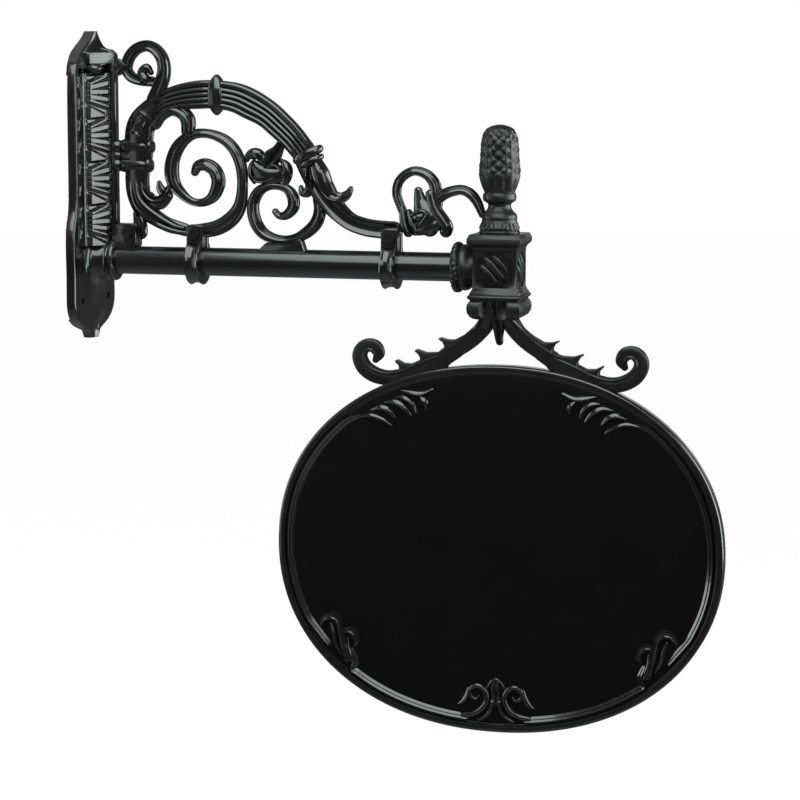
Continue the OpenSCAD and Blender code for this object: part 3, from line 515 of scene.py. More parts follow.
# Four wall screws, the arm's bore, the slot for the back bar and the bolt through the ears
screw_across, screw_up, screw_hole = 48, 154, 4.5
tongues_at = 67, 163, 434
holes = [drill((0, s * screw_across, t * screw_up), "x", screw_hole, 60) for s in (-1, 1) for t in (-1, 1)]
bore = drill((60, 0, arm_z), "x", arm_r + 0.2, 84)
slot = upright([(40, -52), (40, 176), (51, 176), (51, -52)], -bar_half - 0.2, bar_half + 0.2, "slot")
cut(wall_plate, holes + [bore, slot, drill((tongues_at[0], 0, bolt_z), "y", bolt_hole, 60)])


def dress(piece, finish, node, angle=34):
    """Finish a casting: its paint, its smooth faces, and the node it stands for."""
    piece.data.materials.clear()
    piece.data.materials.append(finish)
    for face in piece.data.polygons:
        face.material_index = 0
    pick(piece)
    bpy.ops.object.shade_smooth_by_angle(angle=radians(angle))
    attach(piece, "root")
    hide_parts(node)


dress(wall_plate, gloss_black, "wall_plate")


# Scrollwork
# One flat casting of scrolls, leaves and flowers in gloss black, moulded on both faces.
# Its back bar is screwed to the plate and its tongues are bolted in the socket's lug and the two clamps.


def even(left):
    """Face line alike on both sides, from its one half up to the middle."""
    return left + [(-u, v) for u, v in reversed(left[:-1])]


# Faces of the strands from one edge to the other, (across, height), the back alike
faces = {
    "rolled": [
        (-1, 0), (-0.98, 0.3), (-0.9, 0.55), (-0.76, 0.68), (-0.62, 0.6), (-0.52, 0.46), (-0.4, 0.5),
        (-0.22, 0.74), (0, 0.88), (0.22, 0.93), (0.46, 0.88), (0.66, 0.72), (0.76, 0.6), (0.84, 0.64),
        (0.92, 0.56), (0.98, 0.32), (1, 0)],
    "rims": even([(-1, 0), (-0.98, 0.45), (-0.92, 0.8), (-0.84, 0.94), (-0.74, 0.95), (-0.64, 0.82),
                  (-0.5, 0.62), (-0.25, 0.5), (0, 0.46)]),
    "vein": even([(-1, 0), (-0.96, 0.35), (-0.82, 0.62), (-0.6, 0.72), (-0.38, 0.66), (-0.2, 0.56),
                  (-0.1, 0.74), (0, 0.95)]),
    "round": even([(-1, 0), (-0.95, 0.34), (-0.8, 0.62), (-0.58, 0.83), (-0.3, 0.96), (0, 1)]),
}
reeded = [(-1, 0), (-0.98, 0.36), (-0.92, 0.58), (-0.82, 0.7), (-0.7, 0.72), (-0.6, 0.64), (-0.56, 0.52)]
for i in range(3):
    left = -0.53 + i * 0.34
    reeded += [(left, 0.5), (left + 0.05, 0.76), (left + 0.16, 0.9), (left + 0.27, 0.78)]
    reeded.append((left + 0.33, 0.52))
reeded += [(0.52, 0.52), (0.58, 0.76), (0.68, 0.86), (0.8, 0.84), (0.9, 0.68), (0.97, 0.4), (1, 0)]
faces["reeded"] = reeded


def poly_line(name, points):
    """Flat curve of straight steps through points of (x, y, radius)."""
    curve = bpy.data.curves.new(name, "CURVE")
    curve.dimensions = "2D"
    line = curve.splines.new("POLY")
    line.points.add(len(points) - 1)
    for point, (x, y, r) in zip(line.points, points):
        point.co = (x, y, 0, 1)
        point.radius = r
    return curve


def strand(points, face, height, name="strand", steps=5):
    """One strand along points [out, up, half width] in mm, its face drawn over it at a height in mm."""
    half = faces[face]
    around = half + [(u, -v) for u, v in reversed(half[1:-1])]
    ring = poly_line("face_line", [(u, v, 1) for u, v in around])
    ring.splines[0].use_cyclic_u = True
    ring_piece = linked("face_line", ring)
    flat = [(p[0], p[1], max(p[2], 0.4)) for p in smooth_line(points, steps)]
    # Both ends are rounded
    first, second, final, before = (Vector(flat[i][:2]) for i in (0, 1, -1, -2))
    back, on = (first - second).normalized(), (final - before).normalized()
    turn = (0.35, 0.65, 0.88, 0.98)
    r0, r1 = flat[0][2], flat[-1][2]
    start = [(*(first + back * r0 * t), r0 * sqrt(1 - t * t)) for t in reversed(turn)]
    close = [(*(final + on * r1 * t), r1 * sqrt(1 - t * t)) for t in turn]
    drawn = poly_line(name, [(x * mm, z * mm, r * mm) for x, z, r in start + flat + close])
    drawn.bevel_mode = "OBJECT"
    drawn.bevel_object = ring_piece
    drawn.use_fill_caps = True
    pick(linked(name, drawn))
    bpy.ops.object.convert(target="MESH")
    piece = bpy.context.object
    bpy.data.objects.remove(ring_piece)
    top = max(v.co.z for v in piece.data.vertices)
    piece.data.transform(Matrix.Diagonal((1, 1, height * mm / top, 1)))
    stand(piece)
    face_out(piece)
    return piece


def strands(*lines):
    """Several strands, each as strand takes it: points, face, height, name and any steps."""
    return [strand(*line) for line in lines]


castings = strands(
    ([(103, 116, 9), (111, 132, 9), (117.5, 151, 8.5), (116, 169, 8), (107, 182, 7.8), (94, 187.5, 7.7),
     (79, 183, 7.6), (68, 171, 7.3), (65, 156, 7), (72, 145.5, 7.2), (86, 141, 7), (100, 140, 7)],
     "rims", 9, "top_loop"),
    ([(90, 143, 8), (86, 152, 6), (93, 158, 6), (99, 152, 4)], "round", 8.5, "top_curl"),
    ([(81, 40, 20), (81, 62, 21), (85, 82, 20.5), (99, 99, 18), (112, 110, 15)], "round", 9, "left_leg", 6),
    ([(100, 100, 13), (116, 112, 15), (138, 119, 17), (165, 122.5, 19), (192, 123, 19), (220, 118.5, 20),
     (240, 110, 20.5), (262, 98, 19), (280, 83, 18.5), (297, 67, 17.5), (313, 48, 16.5)], "reeded", 11,
     "arch", 6),
    ([(104, 84, 9), (112, 95, 9), (126, 103, 9.5), (141, 100, 9.5), (151, 89, 10), (151, 74, 9)],
     "rolled", 9.5, "hook"),
    ([(311, 52, 16), (325, 25, 17.5), (338, 0, 17), (353, -22, 14.5), (375, -42, 12), (396, -50, 12),
     (416, -53, 12), (437, -54, 12)], "rims", 10, "arch_foot", 6),
    ([(79, 26, 18), (78, 6, 17.5), (80, -12, 17), (87, -30, 15), (102, -43, 11), (118, -51, 10),
     (145, -58.5, 9)], "round", 8.5, "lower_leaf", 6),
    ([(121, -13, 7.5), (112, -24, 7.5), (102, -24, 7), (96, -14, 6)], "round", 8, "leaf_hook"),
    ([(117, -11, 7), (111, -4, 6), (109, 4, 3.5)], "vein", 8, "leaf_tip"),
    ([(77, -38, 6), (81, -53, 9.5), (82, -64, 9)], "vein", 8, "leaf_foot"),
    ([(160, 19, 5.5), (165, 27.5, 7.5), (177, 29, 9), (189, 21, 9.5), (193.5, 6.5, 9.5), (188, -10, 8.5),
     (178, -19, 6.5), (166, -22, 5.5), (154, -19.5, 5.5), (142, -11, 7), (131, 2, 9), (127, 18, 10),
     (129, 36, 9.5), (137, 53, 9), (150, 65.5, 7.5), (165, 71, 6.5), (184, 70, 6.5), (203, 62.5, 7.5),
     (216, 50, 8), (224, 34, 8), (227, 16, 7.5), (227, -4, 7.5), (223, -26, 9), (211, -43, 10.5),
     (190, -55.5, 10.5), (163, -60, 9.5)], "rolled", 8.5, "big_spiral"),
    ([(273, -32, 4.5), (279, -37.5, 5), (289, -36, 6.5), (298, -26, 7.8), (298, -13, 8), (290, -2, 6.5),
     (277, 1.7, 5), (262, 1, 5.8), (249, -7, 7.5), (242, -24, 8), (245, -45, 8.5), (257, -62, 8),
     (278, -69.5, 6.5), (299, -68, 6.5), (317, -59, 8), (330, -46, 8.5), (335, -30, 8), (332, -14, 6.5)],
     "rolled", 8.5, "small_spiral"),
    ([(451, -32, 6), (445.5, -20, 6), (441, -6, 6.2), (443, 8, 6.2), (451.5, 18.5, 6.2), (465, 24.5, 6.2),
     (481, 20.5, 6.9), (491.5, 9.5, 7.8), (495, -5, 8.3), (494, -20, 9), (490, -34, 10)], "rolled", 8,
     "bud_loop"),
    ([(494, -14, 8), (503, -7, 7.5), (514, -2, 7.2), (529, 0.5, 6.8), (541, -4.5, 7), (550, -15, 6.5),
     (557, -31, 5)], "rolled", 7.5, "small_arch")
)
# Folds of the leaf on the left leg: a band, its creases and a curl above, long lobes below
folds = strands(
    ([(81, 103, 2), (87, 100, 3.2), (94, 95, 3.2), (101, 90, 2)], "round", 12.5, "band"),
    ([(83, 96, 2), (75, 85, 3.4), (70, 72, 2.5)], "round", 11.5, "crease"),
    ([(88, 93, 2), (81, 81, 3.6), (76, 73, 2)], "round", 11.8, "crease"),
    ([(94, 90, 2), (89, 79, 3.6), (87, 69, 2)], "round", 11.8, "crease"),
    ([(104, 87, 1.5), (98, 75, 2.6), (95, 60, 2)], "round", 11.5, "crease"),
    ([(73, 71, 2.5), (79, 72, 3.4), (84, 67, 3.4), (82, 62, 2)], "round", 13, "curl"),
    ([(69, 12, 2), (71, -6, 4.5), (74, -22, 5), (81, -33, 4), (90, -41, 2)], "round", 12, "lobe"),
    ([(77, 17, 3), (79, -2, 4.5), (84, -17, 5.5), (93, -28, 5.5), (105, -37, 5), (118, -45, 4.5),
     (133, -53, 4), (145, -56, 3)], "round", 13, "lobe"),
    ([(86, 14, 2.5), (88, -4, 4), (95, -14, 5), (105, -19, 5.5), (116, -15, 5.5), (122, -5, 4.5),
     (124, 3, 2)], "rolled", 13, "lobe"),
    ([(97, -45, 2.5), (108, -51, 5), (122, -57, 5.5), (137, -61, 4.5), (148, -62, 3)], "round", 12,
     "lobe")
)
# Open flower between the two spirals: a ribbed stem from the arch over rounded lobes with raised lips
flower = strands(
    ([(283, 62, 5), (277, 50, 8), (269, 40, 12), (261, 30, 9), (255, 21, 1.5)], "vein", 11, "stem"),
    ([(256, 38, 5), (251, 44, 7), (243, 45, 7.5), (236, 41, 5.5), (234, 36, 3)], "round", 8.5, "back_lobe"),
    ([(234, 43, 1.6), (239, 45.5, 1.9), (245, 44.5, 2.1), (251, 38.5, 2.1), (257, 31, 1.4)], "round", 11.5,
     "back_lip"),
    ([(246, 26, 10), (256, 18, 13), (270, 16, 13), (284, 20, 10)], "round", 7.5, "bell"),
    ([(244, 37, 2), (239.5, 28, 3.2), (239.5, 16, 3.6), (244, 6, 2)], "round", 9, "side_lobe"),
    ([(282, 36, 3), (287, 31, 6), (290, 24, 7.5), (289, 14, 7), (287, 6, 5)], "round", 9, "front_lobe"),
    ([(259, 27, 1.5), (265, 30, 2.1), (272, 30.5, 2.3), (280, 27, 2.4), (286, 19, 2.3), (287, 13, 1.5)],
     "round", 12, "front_lip"),
    ([(243, 14, 1.5), (248, 8.5, 2.4), (258, 7.5, 2.1), (265, 10, 2.1), (273, 13.5, 1.5)], "round", 11.5,
     "low_lip")
)
# Closed bud at the foot of the loop: a blunt tip behind two bands, folded petals and a hanging one
bud = strands(
    ([(486, -50, 12), (482, -36, 16), (477, -25, 14), (473.5, -16, 9.5), (471.5, -8, 7.4), (470.5, -2, 6)],
     "round", 10.5, "bud"),
    ([(449, -25, 4.5), (452, -44, 6.5), (457, -57, 6)], "round", 11, "band"),
    ([(458, -29, 3.5), (463, -43, 5), (468, -55, 4.5)], "round", 11.5, "band"),
    ([(470, -46, 9), (482, -43, 11), (494, -38, 10)], "round", 8, "body"),
    ([(461, -35, 2.4), (468, -30, 3.4), (478, -27, 3.8), (484, -32, 3.8), (478, -40, 3.2), (472, -48, 2.4)],
     "round", 13.5, "fold"),
    ([(462, -37, 4), (471, -36, 7.5), (479, -33, 6)], "round", 12.8, "leaf"),
    ([(487, -6, 7), (490, -18, 8), (496, -30, 9), (503, -40, 9.5), (508, -48, 9.5), (508, -54, 8.5)],
     "round", 10.5, "petal"),
    ([(466, -56, 5), (478, -52, 8), (492, -47, 9), (502, -42, 8)], "round", 9.5, "petal")
)
# Calyx over the foot of the arch: a pointed leaf with a turned-up tip, a small leaf and a hook beside it
calyx = strands(
    ([(329, 36, 9), (335, 20, 13), (342, 4, 12), (352, -8, 8), (364, -10.5, 5.5), (374, -5, 4),
     (379, 2, 1.5)], "round", 12.5, "leaf"),
    ([(327, 21, 1.5), (333, 8, 2.1), (341, -4, 2.3), (350, -12.5, 2.5), (361, -15, 2.5), (369, -9, 2.1),
     (377, 1, 1.5)], "round", 14, "lip"),
    ([(320, 31, 4), (321, 16, 6), (323, 2, 6), (330, -10, 3)], "vein", 11.5, "leaf"),
    ([(318, 12, 4), (321, 2, 6), (318, -6, 6.5), (311, -6, 5), (309, 1, 3.2)], "round", 9.5, "hook"),
    ([(352, -12, 6), (364, -14, 6), (373, -9, 5), (378, 0, 3.5)], "round", 9.5, "spur")
)


def ring_round(x, z, tilt, out, width, deep, point):
    """Raised ring around a strand at x and z, tilted by degrees, narrower at its two points."""
    thick = width / 2
    mid = (out - thick * 0.55) * mm
    bpy.ops.mesh.primitive_torus_add(major_segments=56, minor_segments=16, major_radius=mid,
                                     minor_radius=thick * mm, rotation=(0, pi / 2, 0))
    piece = bpy.context.object
    settle(piece)
    for vert in piece.data.vertices:
        reach = min(abs(vert.co.z) / (out * mm), 1)
        radial = Vector((vert.co.y, vert.co.z))
        pull = mid + (radial.length - mid) * 0.55
        radial *= pull / radial.length
        vert.co = (vert.co.x * (1 - point * reach ** 2), radial.x * deep / out, radial.y)
    piece.rotation_euler.y = radians(tilt)
    piece.location = (x * mm, 0, z * mm)
    return settle(piece)


rings = [ring_round(192, 122.5, 0, 27.5, 20, 13, 0.5), ring_round(319, 44.5, 63, 23, 11, 14, 0.2),
         ring_round(324, 35.5, 63, 18.5, 8, 13.5, 0.2)]


def roll(z, r, end):
    """Round moulding across the leg, from the bar out to its knob."""
    shape = [(46, 0), (46, r - 1), (49, r - 0.3), (52, r - 1.2), (55, r - 2), (58, r - 0.6), (62, r - 0.3),
             (72, r - 0.6), (84, r - 0.4), (end - 14, r - 0.8), (end - 10, r - 2.6), (end - 7, r - 0.6),
             (end - 3.5, r - 0.8), (end - 1, r - 3.2), (end, 0)]
    return turned(shape, (0, 0, z), "roll", steps=32)


rolls = [roll(52.5, 10.2, 103), roll(40, 8.2, 95), roll(27.5, 10.2, 101)]
back_bar = upright([(40, -52), (40, 176), (50, 176), (50, -52)], -bar_half, bar_half, "back_bar", 1.5)
loop_lug = upright([(48, 146), (48, 172), (60, 168), (66, 160), (60, 150)], -7, 7, "loop_lug", 2)
saddle = upright([(252, -82), (262, -73), (300, -73), (310, -66), (316, -84), (313, -101), (262, -101)],
                 -9, 9, "saddle", 2)
tongues = [upright([(x - 12, -81), (x - 12, -53), (x - 9, -51), (x + 9, -51), (x + 12, -53), (x + 12, -81)],
                   -ear_in, ear_in, "tongue", 0.8) for x in tongues_at]
scroll = castings[0]
fuse(scroll, castings[1:] + folds + flower + bud + calyx + rings + rolls + [loop_lug, saddle])
# Room beside the tongues for the ears, then the bed for the arm and the bolt holes
rooms = [upright([(x - 13, -102), (x - 13, -50), (x + 13, -50), (x + 13, -102)], *side, "room")
         for x in tongues_at for side in ((-24, -ear_in), (ear_in, 24))]
cut(scroll, rooms)
fuse(scroll, tongues + [back_bar])
bolt_holes = [drill((x, 0, bolt_z), "y", bolt_hole, 60) for x in tongues_at]
cut(scroll, [drill((300, 0, arm_z), "x", arm_r + 0.1, 600)] + bolt_holes)
scroll.name = "scroll_bracket_casting"
dress(scroll, gloss_black, "scroll_bracket")


# Clamps and fixings
# Two cast split rings close about the arm and hold the scrollwork's tongues between their ears.
# Bolts, washers, nuts and the board's screws are steel painted over; what sits hidden stays zinc plated.


def clamp(x, name, node):
    """One split ring with a rolled rim at each end and two flat-topped ears."""
    ring = turned([
        (x - 10, 19.1), (x - 10, 29), (x - 9.4, 30.6), (x - 8.4, 31.2), (x - 7.2, 30.8),
        (x - 5.5, 29.6), (x - 3, 28.7), (x, 28.4), (x + 3, 28.7), (x + 5.5, 29.6), (x + 7.2, 30.8),
        (x + 8.4, 31.2), (x + 9.4, 30.6), (x + 10, 29), (x + 10, 19.1)], (0, 0, arm_z), name)
    ears = [upright([(x - 12, -86), (x - 12, -53.5), (x - 10.5, -51.4), (x + 10.5, -51.4), (x + 12, -53.5),
                     (x + 12, -86)], *side, "ear", 1.3) for side in ear_sides]
    fuse(ring, ears)
    gap = upright([(x - 20, arm_z), (x - 20, -40), (x + 20, -40), (x + 20, arm_z)], -ear_in, ear_in, "gap")
    cut(ring, [gap, drill((x, 0, arm_z), "x", arm_r + 0.05, 40), drill((x, 0, bolt_z), "y", bolt_hole, 60)])
    soften(ring, 0.5, 1, 50)
    dress(ring, gloss_black, node)


satin_black = paint("satin_black_casting_paint", (0.005, 0.0053, 0.0055), 0.36, 0.5, 0.6, 0.1)
clamp(tongues_at[1], "inner_clamp_casting", "inner_clamp")
clamp(tongues_at[2], "outer_clamp_casting", "outer_clamp")
fixing_black = paint("fixing_paint", (0.007, 0.0073, 0.0075), 0.25, 0.5, 0.5)
zinc = paint("zinc_plate", (0.3, 0.31, 0.32), 0.38, 0.5, 0.5)
zinc.node_tree.nodes["Principled BSDF"].inputs["Metallic"].default_value = 0.9
arm_paint = paint("arm_paint", (0.004, 0.0042, 0.0045), 0.22, 0.6, 0.1, 0.5)


def repaint(node, finish):
    piece = bpy.data.objects[node]
    piece.data.materials.clear()
    piece.data.materials.append(finish)


for node in ("clamp_bolts", "clamp_washers", "clamp_nuts", "board_screws"):
    repaint(node, fixing_black)
for node in ("bracket_screws", "grub_screws", "tie_rod", "hanger_studs", "hanger_nuts"):
    repaint(node, zinc)
repaint("arm_tube", arm_paint)


# Head
# Square cast box at the end of the arm, with a ferrule, a moulded cap and a pine-cone finial.
# The finial is the nut of the long rod that pulls box, cap and crown together.
head_x = 580
rod_r = 6
ferrule = turned([
    (519.5, 19.1), (519.5, 27), (524, 27.5), (528, 28.5), (531, 30), (533.5, 30.6), (537, 30.4),
    (540.5, 28.6), (543.5, 26.6), (546.5, 25.4), (550.5, 25), (550.5, 19.1)], (0, 0, arm_z), "ferrule")
# Beaded rope about its mouth
rope_r, rope_thick, strands_round = 28.2, 5.2, 26
bpy.ops.mesh.primitive_torus_add(major_segments=224, minor_segments=16, major_radius=rope_r * mm,
                                 minor_radius=rope_thick * mm, rotation=(0, pi / 2, 0))
rope = bpy.context.object
settle(rope)
for vert in rope.data.vertices:
    turn = atan2(vert.co.z, vert.co.y)
    out = sqrt(vert.co.y ** 2 + vert.co.z ** 2) - rope_r * mm
    round_turn = atan2(vert.co.x, out)
    swell = 1 + 0.13 * sin(strands_round * turn + 2 * round_turn) - 0.03
    new_out = rope_r * mm + out * swell
    vert.co = (vert.co.x * swell, cos(turn) * new_out, sin(turn) * new_out)
rope.location = (524.6 * mm, 0, arm_z * mm)
settle(rope)
fuse(ferrule, [rope])
cut(ferrule, [drill((535, 0, arm_z), "x", arm_r + 0.05, 60), drill((525.5, 0, -127), "z", 4, 20)])
ferrule.name = "end_flange_casting"
dress(ferrule, satin_black, "end_flange")


def square_turned(profile, name):
    """Square mouldings about the head's upright axis, from (height, half width)."""
    piece = turned([(z, r * sqrt(2)) for z, r in profile], (0, 0, 0), name, "z", 4)
    piece.rotation_euler.z = pi / 4
    piece.location.x = head_x * mm
    return settle(piece)


box = square_turned([
    (-140, 0), (-140, 33.5), (-139, 34.6), (-137, 35.4), (-135.4, 34.6), (-134.4, 33.2), (-133, 33),
    (-130, 31.2), (-127.6, 30), (-126, 29.6), (-125.4, 29.2), (-78, 29.2), (-77, 29.5), (-77, 0)],
    "head_box_casting")
cut(box, [square_turned([(-133, 0), (-133, 22.5), (-70, 22.5), (-70, 0)], "hollow"),
          drill((550, 0, arm_z), "x", arm_r + 0.2, 62), drill((head_x, 0, -136), "z", rod_r + 0.15, 20)])
soften(box, 0.5, 1, 60)
# Cross of the sunk panels about its middle
cross = [
    (11.5, 23.5), (11.5, 19), (15, 18.6), (16, 14.5), (23.5, 14.5), (23.5, -14.5), (16, -14.5),
    (15, -18.6), (11.5, -19), (11.5, -23.5)]
cross += [(-x, z) for x, z in reversed(cross)]
panel_z = -101.5


def on_side(piece, turn):
    """Turn a piece made on the front of the head box to another side of it."""
    there, home = Matrix.Translation((head_x * mm, 0, 0)), Matrix.Translation((-head_x * mm, 0, 0))
    piece.data.transform(there @ Matrix.Rotation(turn, 4, "Z") @ home)
    piece.data.update()
    return piece


def panel(turn):
    """Sunk cross with a double fillet about three slanting leaves, on one side of the box."""
    sunk = upright([(head_x + x, panel_z + z) for x, z in cross], -32, -26.6, "sunk")
    cut(box, [on_side(sunk, turn)])
    tray = flat_piece([(x * 0.995, z * 0.995) for x, z in cross][::-1], "tray")
    raise_steps(tray, [(0, 2), (1, 2), (1.5, 3.1), (2.4, 3.1), (2.9, 2), (3.5, 2), (4, 2.9), (4.7, 2.9),
                       (5.2, 2), (6, 2)])
    stand(tray)
    tray.data.transform(Matrix.Translation((head_x * mm, -25.4 * mm, panel_z * mm)))
    face_out(tray)
    slants = [
        ([(-12, -87, 2.6), (-6, -93, 4.6), (1, -101, 5), (9, -110, 3.8)], 3.4),
        ([(-17, -97, 2.6), (-12, -102, 4.4), (-5, -109, 4.4), (1, -116, 3.2)], 3.4),
        ([(-1, -84, 2), (5, -90, 4), (11, -97, 4), (16, -104, 2.4)], 3)]
    for points, height in slants:
        leaf = strand([(head_x + x, z, w) for x, z, w in points], "round", height, "leaf", 4)
        leaf.data.transform(Matrix.Translation((0, -27.6 * mm, 0)))
        fuse(tray, [leaf])
    fuse(box, [on_side(tray, turn)])


for turn in (0, pi / 2, pi):
    panel(turn)
dress(box, satin_black, "head_box", 40)

cap = square_turned([
    (-77, 0), (-77, 29.5), (-75.5, 29.6), (-73.5, 30.2), (-71, 31.8), (-69.4, 33.6), (-68.4, 35),
    (-67.4, 35.2), (-66.6, 36), (-61.5, 36), (-60.6, 35.6), (-56.4, 33.6), (-55.5, 32.8), (-55.5, 0)],
    "box_cap_casting")
spigot = square_turned([(-79, 0), (-79, 22.3), (-76, 22.3), (-76, 0)], "spigot")
fuse(cap, [spigot])
cut(cap, [drill((head_x, 0, -66), "z", rod_r + 0.15, 40)])
soften(cap, 0.35, 1, 60)
dress(cap, satin_black, "box_cap", 40)

# Finial outline from its foot up, (height over the arm's middle plane, radius)
finial_line = [
    (-55.5, 26.6), (-53, 27), (-52, 26.4), (-51.2, 25.6), (-50, 26), (-47.5, 26.4), (-44, 25),
    (-41.5, 24), (-39.5, 23.4), (-37.5, 22.9), (-34.5, 23.5), (-31, 22.6), (-28.5, 20.6), (-25, 17.2),
    (-21.5, 15.4), (-19, 15), (-16.5, 15.8), (-14.5, 18.2), (-13, 20.6), (-10, 21.9), (-6, 22),
    (-3.4, 21.2), (-2, 20), (-0.5, 20.4), (5, 22.6), (12, 25), (20, 26.7), (30, 26.3), (42, 25.1),
    (58, 24.3), (70, 22.6), (79, 18.4), (84, 11.6), (86, 4), (86.3, 0)]
outline = [(p[0], max(p[1], 0)) for p in smooth_line(finial_line, 6)[:-1]]
finial = turned([(-55.5, 0)] + outline + [finial_line[-1]], (0, 0, 0), "finial_casting", "z", 144)
# Lobes round its foot, then a cup of fluted petals, and the scales of the cone between two sets of spirals
lobes_low, lobes_high, cup_high, cone_low, cone_high = -51, -40.5, 30, 14, 85
scales_round, scale_high = 9, 13.5
for vert in finial.data.vertices:
    z, r = vert.co.z / mm, sqrt(vert.co.x ** 2 + vert.co.y ** 2) / mm
    if r < 1:
        continue
    turn = atan2(vert.co.y, vert.co.x)
    lift = 0
    if lobes_low < z < lobes_high:
        lobe = abs(sin(11 * turn))
        lift = 1.5 * (lobe ** 0.5 - 0.75) * min(1, (z - lobes_low) / 2, (lobes_high - z) / 2)
    if 0 < z < cup_high:
        flute = abs(cos(5 * turn + 0.5)) ** 0.7
        petal = 14 + 16 * abs(cos(5 * turn + 0.5))
        lift = 2.4 * (flute - 0.6) * min(1, z / 4) if z < petal else 0
    if z > cone_low:
        climb = z / scale_high
        a, b = scales_round / 2 * turn / pi + climb, scales_round / 2 * turn / pi - climb
        cell = min(abs(a - round(a)), abs(b - round(b))) * 2
        scale = (min(cell / 0.7, 1) ** 0.6 - 0.55) * 2.5
        blend = min(1, max(0, (z - cone_low - 2) / 10)) * min(1, max(0, (cone_high - z) / 4))
        lift = lift * (1 - blend) + scale * blend
    vert.co.x *= (r + lift) / r
    vert.co.y *= (r + lift) / r
finial.data.transform(Matrix.Translation((head_x * mm, 0, 0)))
cut(finial, [drill((head_x, 0, -36), "z", rod_r, 44)])
dress(finial, satin_black, "finial", 50)


# Crown
# Cast block of rounded lobes under the head, with a leaf and two toothed arms that end in volutes.
# The arms sit on the board's edge and hold it with two studs.
bend_from, bend_long = -186, 40


def curve_shift(piece, amount):
    """Bend the upper end of a strand forward by amount in mm, to lie on the block's face."""
    for vert in piece.data.vertices:
        t = min(max((vert.co.z / mm - bend_from) / bend_long, 0), 1)
        vert.co.y -= amount * mm * t * t * (3 - 2 * t)
    return piece


def flipped(piece, flip):
    """Mirror image of a casting, with its own mesh."""
    twin = piece.copy()
    twin.data = piece.data.copy()
    bpy.context.collection.objects.link(twin)
    twin.data.transform(flip)
    face_out(twin)
    return twin


def from_head(points):
    """Points set out from the head's axis and from 1 mm over the middle of the arm."""
    return [(head_x + x, z + 1 + arm_z, w) for x, z, w in points]


faces["edged"] = [
    (-1, 0), (-0.98, 0.4), (-0.92, 0.62), (-0.8, 0.72), (-0.5, 0.78), (0, 0.8), (0.25, 0.78), (0.36, 0.74),
    (0.44, 0.84), (0.56, 0.96), (0.7, 0.98), (0.84, 0.86), (0.94, 0.6), (0.99, 0.3), (1, 0)]
arm_line = [(-8, -60, 9), (-18, -77, 10.5), (-34, -93.5, 11), (-52, -107, 10.5), (-72, -118, 10)]
volute_line = [
    (-56, -112, 9), (-74, -123, 10), (-100, -135, 12), (-128, -147, 11), (-150, -150.5, 10),
    (-168, -147.5, 10.5), (-183, -138, 10.5), (-190, -124, 10), (-187, -113, 9.5), (-178, -107.5, 9),
    (-168, -110, 9), (-164, -119, 8), (-168, -127, 4.5)]
arm = [
    strand(from_head(arm_line), "edged", 10, "arm"),
    strand(from_head(volute_line), "edged", 10.5, "volute"),
]
# Saw-like upper edge of the arm: three teeth with turned-up tips, the lower edge inside the arm
teeth = [
    (-22, -85), (-21, -67), (-33, -79.5), (-45, -89), (-60, -97.3), (-70, -97.2), (-80, -94.5),
    (-80.5, -96.5), (-75, -100), (-72.5, -105), (-73.5, -111), (-85, -114.5), (-99, -115.2),
    (-112, -111), (-113, -113.5), (-108, -117.2), (-105.5, -122), (-106, -128), (-118, -131),
    (-130, -130.4), (-139, -125.5), (-140, -128), (-135, -132.5), (-134, -138), (-140, -152),
    (-100, -150), (-72, -136), (-64, -127), (-50, -112), (-34, -97)]
root = [(-7, -43, 6), (-9, -56, 7.5), (-17, -73, 9), (-31, -90, 9.5)]
arm.append(upright([(head_x + x, z + 1 + arm_z) for x, z in teeth], -8.5, 8.5, "teeth", 1.5))
for side in (1, -1):
    arm.append(curve_shift(strand(from_head(root), "edged", 9, "root"), 25 * side))
crown = arm[0]
other_side = Matrix.Translation((2 * head_x * mm, 0, 0)) @ Matrix.Diagonal((-1, 1, 1, 1))
arms = arm[1:] + [flipped(piece, other_side) for piece in arm]
front_leaf = [(0, -43, 7), (0, -60, 8), (0, -74, 8.5), (0, -90, 6), (1, -98, 5)]
for side in (1, -1):
    arms.append(curve_shift(strand(from_head(front_leaf), "vein", 9, "leaf"), 27 * side))
block = square_turned([
    (-167, 0), (-167, 24), (-166, 28), (-163, 32.5), (-158, 35.4), (-152, 36.2), (-147, 35.6),
    (-144, 34), (-142.4, 32.4), (-141, 32.6), (-140, 33.4), (-140, 0)], "block")
soften(block, 9, 4, 62)
cut(block, [drill((head_x, y, -163), "z", 23, 40) for y in (-48, 48)])
fuse(crown, arms + [block])


def oval(inset=0.0, points=192):
    """Board outline about its middle in mm, a little fuller than an ellipse, drawn in by inset."""
    power, half_w, half_h = 2.13, 302, 246.5
    line = []
    for i in range(points):
        c, s = cos(2 * pi * i / points), sin(2 * pi * i / points)
        k = (abs(c) ** power + abs(s) ** power) ** (-1 / power)
        n = Vector((abs(c * k) ** (power - 1) / half_w * (1 if c > 0 else -1),
                    abs(s * k) ** (power - 1) / half_h * (1 if s > 0 else -1))).normalized()
        line.append((half_w * c * k - n.x * inset, half_h * s * k - n.y * inset))
    return line


board_z = -475.5
seat = upright([(head_x + x, board_z + z) for x, z in oval()], -30, 30, "seat")
cut(crown, [seat, drill((head_x, 0, -149), "z", rod_r, 22)])
crown.name = "crown_casting"
dress(crown, satin_black, "crown")


